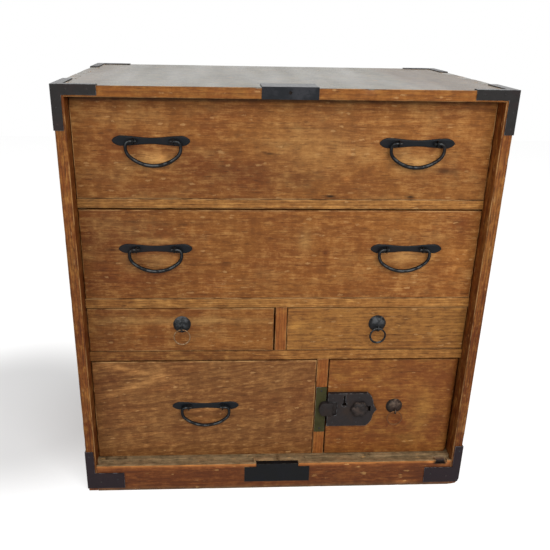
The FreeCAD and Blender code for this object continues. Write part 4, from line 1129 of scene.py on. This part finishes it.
@dataclass(frozen=True)
class Eye:
    """Pin with a loop at its head and a small collar on the wood."""

    wire: float
    hole: float
    pin: float = 3.0
    collar: float = 2.7
    steps: int = 28

    def surface(self, centre: Point, face: float) -> Surface:
        """Loop, shank and collar.

        Args:
            centre: middle of the loop.
            face: Y of the surface that the pin goes into.
        """
        x, y, z = centre
        middle_line = (self.hole + self.wire) / 2 * MM
        path = circle_path(centre, middle_line, (0, 1, 0), (0, 0, 1), self.steps)
        swell = 1 + 0.12 * np.cos(turns(self.steps))
        loop = bar(path, self.wire / 2 * MM * swell, (1, 0, 0), 12, closed=True, flat=1.1)
        stem = np.linspace((x, y + middle_line, z), (x, face + 2 * MM, z), 5)
        shank = bar(stem, np.full(5, self.pin / 2 * MM) * np.array([0.8, 0.9, 1.0, 1.0, 1.0]), (1, 0, 0), 12)
        profile = np.array([[0, 0], [1, 0], [1, 0.4], [0.86, 0.75], [0.5, 0.95], [0, 1.0]])
        profile = profile * np.array([1.0, 0.9 * MM])
        return Surface.joined([loop, shank, lofted(circle(self.collar * MM, 18), (x, face, z), profile)])


@dataclass(frozen=True)
class BailHandles:
    """The bails of one drawer with their leaf plates and eyes."""

    drawer: str
    bails: tuple[str, ...]
    seed: int
    wire: float = 4.4
    bend: float = 5.5
    corner: float = 14.0
    corner_share: float = 0.75
    end: float = 12.5
    eye_inset: float = 9.4
    eye: Eye = Eye(1.9, 5.1)
    plate_length: float = 94.0
    plate_bulge: float = 12.4
    plate_waist: float = 7.6
    plate_shoulder: float = 9.5
    plate_thick: float = 1.3
    # painted highlight on the faces of the bail that look to the front
    rub: PaintedHighlight = PaintedHighlight((0.0, -0.93, 0.36), 0.9)

    def pivot(self, node: str) -> tuple[float, float, float, float, float]:
        """Middle of a bail's pivot, its outer width and how far it drops, from the node's box."""
        low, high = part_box(node)
        wire = self.wire * MM
        return ((low.x + high.x) / 2, (low.y + high.y) / 2, high.z - wire / 2, high.x - low.x,
                high.z - low.z - wire)

    def bail_surface(self, node: str) -> Surface:
        """Ends turned in, sides, and a bottom of two small arcs and a large one; thickest below."""
        x, y, z, width, drop = self.pivot(node)
        wire, bend, end = self.wire * MM, self.bend * MM, self.end * MM
        half = width / 2 - wire / 2
        side_z = -bend - wire / 2
        rise = drop + side_z
        small = min(self.corner * MM, rise * self.corner_share, half * self.corner_share)
        large = ((half - small) ** 2 + rise ** 2 - small ** 2) / (2 * (rise - small))
        join = math.atan2(side_z - (large - drop), half - small)

        def arc(centre_x: float, centre_z: float, radius: float, sweep: Array) -> Array:
            """Points of an arc."""
            return np.stack([centre_x + radius * np.cos(sweep), centre_z + radius * np.sin(sweep)], axis=1)

        right = np.concatenate([[[half - end, 0.0]],
                                arc(half - bend, -bend, bend, np.linspace(math.pi / 2, 0, 8)),
                                arc(half - small, side_z, small, np.linspace(0, join, 12)[:-1]),
                                arc(0.0, large - drop, large, np.linspace(join, -math.pi / 2, 16))])
        line = np.concatenate([right, right[-2::-1] * np.array([-1, 1])])
        path = np.stack([x + line[:, 0], np.full(len(line), y), z + line[:, 1]], axis=1)
        depth = np.clip(-line[:, 1] / drop, 0, 1)
        rough = lattice_noise(path / MM * 0.14, self.seed)
        radius = wire / 2 * (0.86 + 0.2 * depth ** 1.5) * (1 + 0.035 * rough)
        return bar(path, radius, (0, 1, 0), 22, flat=1.04)

    def plate_surface(self, x: float, z: float, face: float) -> Surface:
        """Leaf-ended plate: two long hollows between bulges, drawn-out tips, a hammered skin."""
        tip, bulge, waist = self.plate_length / 2 * MM, self.plate_bulge / 2 * MM, self.plate_waist / 2 * MM
        wide = tip - self.plate_shoulder * MM
        inner = np.linspace(0, wide, 26)[:-1]
        hollow = waist + (bulge - waist) * (1 - np.cos(math.pi * inner / wide)) / 2
        turn = np.linspace(0, math.pi / 2, 16)
        along = np.concatenate([inner, wide + self.plate_shoulder * MM * np.sin(turn) ** 1.5])
        half = np.concatenate([hollow, bulge * np.cos(turn)])
        along, half = np.concatenate([-along[:0:-1], along]), np.concatenate([half[:0:-1], half])
        sheet = leaf(along, half, self.plate_thick * MM, (x, face, z))
        dent = 0.14 * MM * lattice_noise(sheet.points / MM * 0.22, self.seed + 3)
        sheet.points[:, 1] += np.where(sheet.points[:, 1] < face - 0.5 * MM, dent, 0)
        return sheet

    def build(self) -> None:
        """Adds plates, eyes and bails of the drawer."""
        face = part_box("drawer_" + self.drawer + "_front")[0].y
        low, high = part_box("handle_plates_" + self.drawer)
        ends = (low.x + self.plate_length / 2 * MM, high.x - self.plate_length / 2 * MM)
        plates, eyes = [], []
        for node, plate_x in zip(self.bails, ends):
            x, y, z, width, _ = self.pivot(node)
            plates.append(self.plate_surface(plate_x, z, face))
            reach = width / 2 - (self.wire / 2 + self.eye_inset) * MM
            eyes += [self.eye.surface((x + side * reach, y, z), face - self.plate_thick * MM * 0.8)
                     for side in (-1, 1)]
        add_iron("handle_plates_" + self.drawer, "handle_iron", plates, PLATE_IRON)
        add_iron("handle_eyes_" + self.drawer, "handle_iron", eyes, HANDLE_IRON)
        for node in self.bails:
            add_iron(node, "handle_iron", [self.bail_surface(node)], HANDLE_IRON, self.rub)


@dataclass(frozen=True)
class RingPull:
    """Domed boss with an eye below its middle and a round ring in it."""

    name: str
    board: str
    seed: int
    finish: Iron = BOSS_IRON
    ring: Iron = RING_IRON
    wire: float = 2.0
    diameter: float = 23.4
    boss_diameter: float = 23.6
    boss_height: float = 6.4
    axis_below_top: float = 1.5
    eye: Eye = Eye(1.9, 3.7, collar=2.2)
    steps: int = 72

    def boss_surface(self, x: float, z: float, face: float) -> Surface:
        """Dome over a low rim, with a hammered skin; its middle on the wood is x, face, z."""
        turn = np.linspace(0, math.pi / 2, 14)
        dome = np.stack([0.93 * np.cos(turn), 0.22 + 0.78 * np.sin(turn) ** 1.15], axis=1)
        rim = np.array([[0, 0], [1, 0], [1.0, 0.13], [0.975, 0.19]])
        profile = np.concatenate([rim, dome]) * np.array([1.0, self.boss_height * MM])
        boss = lofted(circle(self.boss_diameter / 2 * MM, 64), (x, face, z), profile)
        boss.points += 0.1 * MM * unit(boss.points - np.array([x, face, z])) * lattice_noise(
            boss.points / MM * 0.2, self.seed)[:, None]
        return boss

    def build(self) -> None:
        """Adds the boss with its eye, and the ring."""
        low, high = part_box("ring_" + self.name)
        x, y = (low.x + high.x) / 2, (low.y + high.y) / 2
        eye_z = high.z - self.axis_below_top * MM
        boss_low, boss_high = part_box("ring_boss_" + self.name)
        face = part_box(self.board)[0].y
        parts = [self.boss_surface(x, (boss_low.z + boss_high.z) / 2, face),
                 self.eye.surface((x, y, eye_z), face - self.boss_height * MM * 0.7)]
        # painted highlight on the upper front of the boss
        add_iron("ring_boss_" + self.name, "boss_iron", parts, self.finish, PaintedHighlight((0.0, -0.7, 0.7), 0.5))
        radius = (self.diameter - self.wire) / 2 * MM
        path = circle_path((x, y, eye_z - radius), radius, (0, 0, 1), (1, 0, 0), self.steps)
        thick = (self.wire / 2 * MM * (0.92 - 0.1 * np.cos(turns(self.steps)))
                 * (1 + 0.03 * lattice_noise(path / MM * 0.2, 5)))
        # painted highlight on the upper front of the ring
        add_iron("ring_" + self.name, "handle_iron", [bar(path, thick, (0, 1, 0), 20, closed=True)], self.ring,
                 PaintedHighlight((0.0, -0.6, 0.8), 0.4))


# ---- lock and irons --------------------------------------
def nail_heads(places: Array, facing: Axis, outwards: Array, radius: float, rise: float) -> Surface:
    """Low domes: ring k has radius r.(1, 0.86, 0.5, 0) at height h.(0, 0.55, 0.92, 1) over each place.

    Args:
        places: n x 3 middles on the iron.
        facing: axis that the heads point along.
        outwards: n signs along that axis.
        radius: radius of a head, in millimetres.
        rise: height of a head, in millimetres.
    """
    turn = turns(10)
    ring = np.array([0.0, 1.0, 0.86, 0.5, 0.0])[:, None] * (radius * MM)
    lift = np.array([-0.6, 0.0, 0.55, 0.92, 1.0])[:, None] * (rise * MM) + 0 * turn[None, :]
    first, second = [axis for axis in range(3) if axis != facing.value]
    heads = []
    for place, sign in zip(places, outwards):
        grid = np.empty((5, 10, 3))
        grid[..., first] = place[first] + ring * np.cos(turn)
        grid[..., second] = place[second] + ring * np.sin(turn)
        grid[..., facing.value] = place[facing.value] + sign * lift
        heads.append(Surface.from_grid(grid))
    return Surface.joined(heads)


def add_nails(name: str, heads: Sequence[Surface], body: str, slot: str) -> None:
    """Adds the nails of one part."""
    new_object(name, mesh_from(Surface.joined(heads), name), Source(body, slot), NAIL_IRON)


@dataclass(frozen=True)
class Plate:
    """A node of sheet iron with rounded edges and a slightly dented face."""

    node: str
    slot: str
    finish: Iron
    bevel: float = 0.3
    seed: int = 70
    worn_corner: float = 0.0
    cell: float = 6.0
    dent: float = 0.12

    def build(self) -> None:
        """Adds the plate."""
        mesh, points, corners = cut_node(self.node, "iron_", Y, self.cell, self.bevel)
        sink = np.abs(lattice_noise(points / MM * 0.08 + self.seed, self.seed)) * self.dent
        wear_down(mesh, points, sink, self.worn_corner, IRON_SHARP)
        store(mesh, "wear_and_highlight", corners, "CORNER")
        store(mesh, "soil", corners_facing_up(mesh), "CORNER")
        mesh.update()
        new_object("iron_" + self.node, mesh, Source.of(self.node, self.slot), self.finish)


@dataclass(frozen=True)
class Lock:
    """Surface lock of the door: case, sliding bolt with its knob, and strike plate."""

    overlap: float = 12.2
    head: float = 19.0
    head_height: float = 21.0
    nose_share: float = 0.62
    depth: float = 6.0
    wall: float = 1.3
    gap: float = 0.3
    back_sheet: float = 1.2
    bar_height: float = 9.0
    stem: float = 3.5
    knob_inset: float = 46.0
    knob_diameter: float = 25.6
    knob_height: float = 7.5
    lobes: int = 6
    scallop: float = 0.13
    bolt_rise: float = 2.0
    mouth: float = 14.5
    flag_depth: float = 1.2
    flag_below: float = 3.0
    flag_above: float = 1.0
    case_nails: tuple[tuple[Pair, float], ...] = (((7.0, 45.0), -7.0), ((8.0, 43.0), 6.0))
    strike_nail_inset: float = 6.0

    def head_surface(self, left: float, right: float, front: float, rear: float, z: float) -> Surface:
        """Plate of the bolt with a round nose at the left and its front edge eased by 0.7 x 0.6 mm."""
        half = self.head_height / 2 * MM
        nose = half * self.nose_share
        turn = np.linspace(math.pi / 2, 3 * math.pi / 2, 25)
        lobe = np.stack([left + nose + nose * np.cos(turn), half * np.sin(turn)], axis=1)
        outline = np.concatenate([lobe, [[right, -half], [right, half]]])
        middle, thick = (left + right) / 2, rear - front
        profile = np.array([[0, 0], [1, 0], [1, thick - 0.6 * MM], [1 - 0.7 * MM / half, thick], [0, thick]])
        return lofted(outline - np.array([middle, 0]), (middle, rear, z), profile)

    def knob_surface(self, x: float, y: float, z: float) -> Surface:
        """Dome with dents: radius r.(1 - scallop.|sin(lobes.a / 2)|^3)."""
        swell = 1 - self.scallop * np.abs(np.sin(self.lobes * turns(144) / 2)) ** 3
        outline = circle(self.knob_diameter / 2 * MM, 144) * swell[:, None]
        sweep = np.linspace(0, math.pi / 2, 18)
        dome = np.stack([np.cos(sweep) ** 0.85, 0.2 + 0.8 * np.sin(sweep)], axis=1)
        profile = np.concatenate([[[0, 0], [0.96, 0], [0.99, 0.08]], dome])
        return lofted(outline, (x, y, z), profile * np.array([1, self.knob_height * MM]))

    def bolt(self) -> None:
        """Adds the bolt: a round-nosed head over the strike plate, a bar, a flag, a stem and the knob."""
        low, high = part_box("lock_case")
        edge, face = low.x, high.y
        z = (low.z + high.z) / 2 + self.bolt_rise * MM
        half = self.head_height / 2 * MM
        outer = face - (self.depth + self.gap) * MM
        front = outer - 2 * self.wall * MM
        back = face - (self.back_sheet + self.gap) * MM
        inner = face - (self.depth - self.wall - self.gap) * MM
        left, start, knob_x = edge - self.overlap * MM, edge - self.gap * MM, edge + self.knob_inset * MM
        slack, bar_half = 0.1 * MM, self.bar_height / 2 * MM
        stem = np.array([[0, 0], [1, 0], [1, inner - outer + 0.5 * MM], [0, inner - outer + 0.5 * MM]])
        parts = [self.head_surface(left, left + self.head * MM, front, outer, z),
                 self.head_surface(left, start, outer, back, z),
                 rounded_block(np.array([start, inner, z - bar_half]),
                               np.array([knob_x + self.stem * MM, back, z + bar_half]), 0.3 * MM),
                 rounded_block(np.array([edge + slack, inner + slack, z - half - self.flag_below * MM]),
                               np.array([edge + self.mouth * MM, inner + self.flag_depth * MM,
                                         z + half + self.flag_above * MM]), 0.2 * MM),
                 lofted(circle(self.stem * MM, 24), (knob_x, inner, z), stem),
                 self.knob_surface(knob_x, outer, z)]
        # painted highlight on the upper front of the knob
        add_iron("lock_bolt", "lock_iron", parts, KNOB_IRON,
                 PaintedHighlight((0.0, -0.7, 0.7), 0.45, (knob_x, z, self.knob_diameter / 2 * MM)))

    def nails(self) -> None:
        """Adds four nails near the corners of the case and two on the strike plate."""
        low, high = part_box("lock_case")
        places = np.array([[low.x + x * MM, low.y, (high.z if inset < 0 else low.z) + inset * MM]
                           for xs, inset in self.case_nails for x in xs])
        add_nails("nails_lock", [nail_heads(places, Y, -np.ones(4), 1.3, 0.5)], "door", "lock_iron")
        low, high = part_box("strike_plate")
        inset = self.strike_nail_inset * MM
        places = np.array([[(low.x + high.x) / 2, low.y, z] for z in (high.z - inset, low.z + inset)])
        add_nails("nails_strike", [nail_heads(places, Y, -np.ones(2), 1.5, 0.6)], "case", "strike_iron")

    def build(self) -> None:
        """Adds the lock."""
        Plate("lock_case", "lock_iron", LOCK_IRON, bevel=0.5).build()
        Plate("strike_plate", "strike_iron", STRIKE_IRON).build()
        self.bolt()
        self.nails()


@dataclass(frozen=True)
class Irons:
    """Corner straps and centre plates with their nails."""

    strap: float = 11.0
    front_reaches: Pair = (18.0, 42.0)
    top_reaches: Pair = (22.0, 66.0)
    base_reaches: Pair = (18.0, 42.0)
    leg_heights: Pair = (7.0, 26.0)
    base_leg_drop: float = 8.0
    base_side_height: float = 13.0
    nail: Pair = (1.3, 0.45)

    def build(self) -> None:
        """Adds straps, plates and nails."""
        for node, finish, seed, corner in (("corner_irons_top", STRAP_IRON, 71, 0.0),
                                           ("corner_irons_base", BASE_STRAP_IRON, 72, CORNER_WEAR),
                                           ("top_centre_plate", CENTRE_IRON, 73, 0.0),
                                           ("base_centre_plate", LOW_IRON, 74, 0.0)):
            Plate(node, "strap_iron", finish, seed=seed, worn_corner=corner).build()
        self.nails()

    def nails(self) -> None:
        """Adds nail heads along the straps' front and side legs."""
        low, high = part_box("corner_irons_top")
        base_low, base_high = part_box("corner_irons_base")
        mid = self.strap / 2 * MM
        front, sides = [], []
        for sign, edge in ((-1, low.x), (1, high.x)):
            for reach in self.front_reaches:
                front.append((edge - sign * reach * MM, low.y, high.z - mid))
                front.append((edge - sign * (reach + 2) * MM, base_low.y, base_low.z + (8.0 + reach / 6) * MM))
            front += [(edge - sign * mid, low.y, low.z + height * MM) for height in self.leg_heights]
            front.append((edge - sign * mid, base_low.y, base_high.z - self.base_leg_drop * MM))
            for z, reaches, ends in ((high.z - mid, self.top_reaches, (low.y, high.y)),
                                     (base_low.z + self.base_side_height * MM, self.base_reaches,
                                      (base_low.y, base_high.y))):
                sides += [(edge, end + inwards * reach * MM, z) for inwards, end in zip((1, -1), ends)
                          for reach in reaches]
        front, sides = np.array(front), np.array(sides)
        add_nails("nails_straps", [nail_heads(front, Y, -np.ones(len(front)), *self.nail),
                                   nail_heads(sides, X, np.sign(sides[:, 0]), *self.nail)],
                  "case", "strap_iron")


# ---- studio ----------------------------------------------
def hang(name: str, made: Any, place: Point = (0, 0, 0), angles: Sequence[float] = (0, 0, 0)) -> Any:
    """Adds a camera, a lamp or a mesh to the scene and returns its object."""
    hung = bpy.data.objects.new(name, made)
    hung.location, hung.rotation_euler = place, angles
    bpy.context.scene.collection.objects.link(hung)
    return hung


@dataclass(frozen=True)
class Lamp:
    """Soft square lamp aimed at a place."""

    name: str
    place: Point
    aim: Point
    size: float
    power: float

    def build(self) -> None:
        """Adds the lamp."""
        light = bpy.data.lights.new(self.name, "AREA")
        light.energy, light.size = self.power, self.size
        towards = Vector(self.aim) - Vector(self.place)
        hang(self.name, light, self.place, towards.to_track_quat("-Z", "Y").to_euler())


@dataclass(frozen=True)
class Studio:
    """Camera, lamps, white surroundings and a floor that keeps the shadow."""

    camera_place: Point = (-0.08488, -1.02858, 0.63997)
    camera_angles: Point = (66.2074, -1.0516, -3.18)
    lens: float = 45.9348
    sensor: float = 36.0
    shift: Pair = (0.0306, 0.088)
    surround: float = 0.45
    floor_grey: Colour = (196, 196, 196)
    floor_glow: float = 0.7
    floor_near: float = 0.3
    shade_place: Point = (-0.44, 0.05, 0.0)
    shade_reach: Pair = (0.13, 0.33)
    floor_size: float = 6.0
    lamps: tuple[Lamp, ...] = (
        Lamp("key", (0.7, -2.2, 1.7), (0.0, -0.1, 0.3), 1.6, 42.0),
        Lamp("fill", (-1.7, -1.6, 0.9), (0.0, 0.0, 0.25), 1.8, 12.0),
        Lamp("over", (0.0, 0.3, 2.4), (0.0, 0.0, 0.3), 1.6, 10.0))

    def camera(self) -> None:
        """Adds the camera."""
        lens = bpy.data.cameras.new("camera")
        lens.lens, lens.sensor_width = self.lens, self.sensor
        lens.shift_x, lens.shift_y = self.shift
        lens.dof.use_dof = False
        angles = [math.radians(a) for a in self.camera_angles]
        bpy.context.scene.camera = hang("camera", lens, self.camera_place, angles)

    def world(self) -> None:
        """White to the camera and to reflections, dimmer as a light."""
        world = bpy.data.worlds.new("surroundings")
        graph = Graph.of(world)
        path = graph.node("LightPath").outputs
        seen = graph.math("MAXIMUM", path["Is Camera Ray"],
                          graph.math("MAXIMUM", path["Is Glossy Ray"], path["Is Transmission Ray"]))
        strength = graph.value("MapRange", {"Value": seen, "To Min": self.surround, "To Max": 1.0})
        back = graph.node("Background", {"Color": WHITE, "Strength": strength})
        graph.node("OutputWorld", {"Surface": back.outputs[0]})
        bpy.context.scene.world = world

    def floor(self) -> None:
        """Adds the floor: a pale diffuse sheet that glows to the camera, so only its shadow shows; around one
        place at the chest's left rear the glow is lower, a painted shadow.
        """
        half = self.floor_size / 2
        mesh = bpy.data.meshes.new("floor")
        mesh.from_pydata([(-half, -half, 0), (half, -half, 0), (half, half, 0), (-half, half, 0)], [],
                         [(0, 1, 2, 3)])
        material = bpy.data.materials.new("pale_floor")
        graph = Graph.of(material)
        path = graph.node("LightPath").outputs
        seen = graph.math("MAXIMUM", path["Is Camera Ray"], path["Is Glossy Ray"])
        here = graph.value("TexCoord", None, "Object")
        away = graph.value("VectorMath", {0: here, 1: self.shade_place}, "Value", operation="DISTANCE")
        # Painted shadow: the glow falls from floor_glow to floor_near around shade_place, darkening the floor
        # there besides the lamps' real shadow
        level = graph.band(away, *self.shade_reach, self.floor_near, self.floor_glow)
        plain = graph.value("BsdfDiffuse", {"Color": linear(self.floor_grey)})
        glow = graph.value("Emission", {"Color": WHITE, "Strength": seen * level})
        graph.node("OutputMaterial", {"Surface": graph.value("AddShader", {0: plain, 1: glow})})
        mesh.materials.append(material)
        hang("floor", mesh)

    def build(self) -> None:
        """Adds everything that is not the chest."""
        bpy.context.scene.view_settings.view_transform = "Standard"
        self.camera()
        self.world()
        self.floor()
        for lamp in self.lamps:
            lamp.build()


def main() -> None:
    """Builds the chest piece by piece, then the studio."""
    logging.basicConfig(level=logging.INFO, format="%(name)s %(message)s")
    door = Board("door_panel", "front_wood", DOOR_WOOD, X, Y, 150, (-30.0, 80.0), bevel=0.8, cell=2.4,
                 rise=0.3, nick=0.4, marks=DOOR_MARKS)
    for part in (Case(),
                 # The tuples after the piths are painted light slopes across each front
                 Drawer("upper", FRONT_WOOD, 100, (15.0, 75.0), (0.25, 0, 0.2), UPPER_MARKS),
                 Drawer("middle", FRONT_WOOD, 110, (-20.0, 65.0), (0.4, 0, 0), MIDDLE_MARKS),
                 Drawer("small_left", FRONT_WOOD, 120, (30.0, 50.0), (0.15, 0, 0), SMALL_LEFT_MARKS),
                 Drawer("small_right", LINED_FRONT, 130, (90.0, 40.0), (0.0, 0, 0), SMALL_RIGHT_MARKS),
                 Drawer("lower", WAVY_FRONT, 140, (35.0, 60.0), (0.1, 0, 0), LOWER_MARKS, lean=0.09),
                 door,
                 Board("door_pivots", "inner_wood", INNER_WOOD, Z, X, 155, bevel=0.4, cell=30.0),
                 BailHandles("upper", ("bail_upper_left", "bail_upper_right"), 41),
                 BailHandles("middle", ("bail_middle_left", "bail_middle_right"), 47),
                 BailHandles("lower", ("bail_lower",), 53),
                 RingPull("small_left", "drawer_small_left_front", 61),
                 RingPull("small_right", "drawer_small_right_front", 62, ring=HANDLE_IRON, wire=2.8),
                 RingPull("door", door.node, 63, DOOR_BOSS_IRON, DOOR_RING_IRON),
                 Lock(), Irons(), Studio()):
        part.build()


if __name__ == "__main__":
    main()
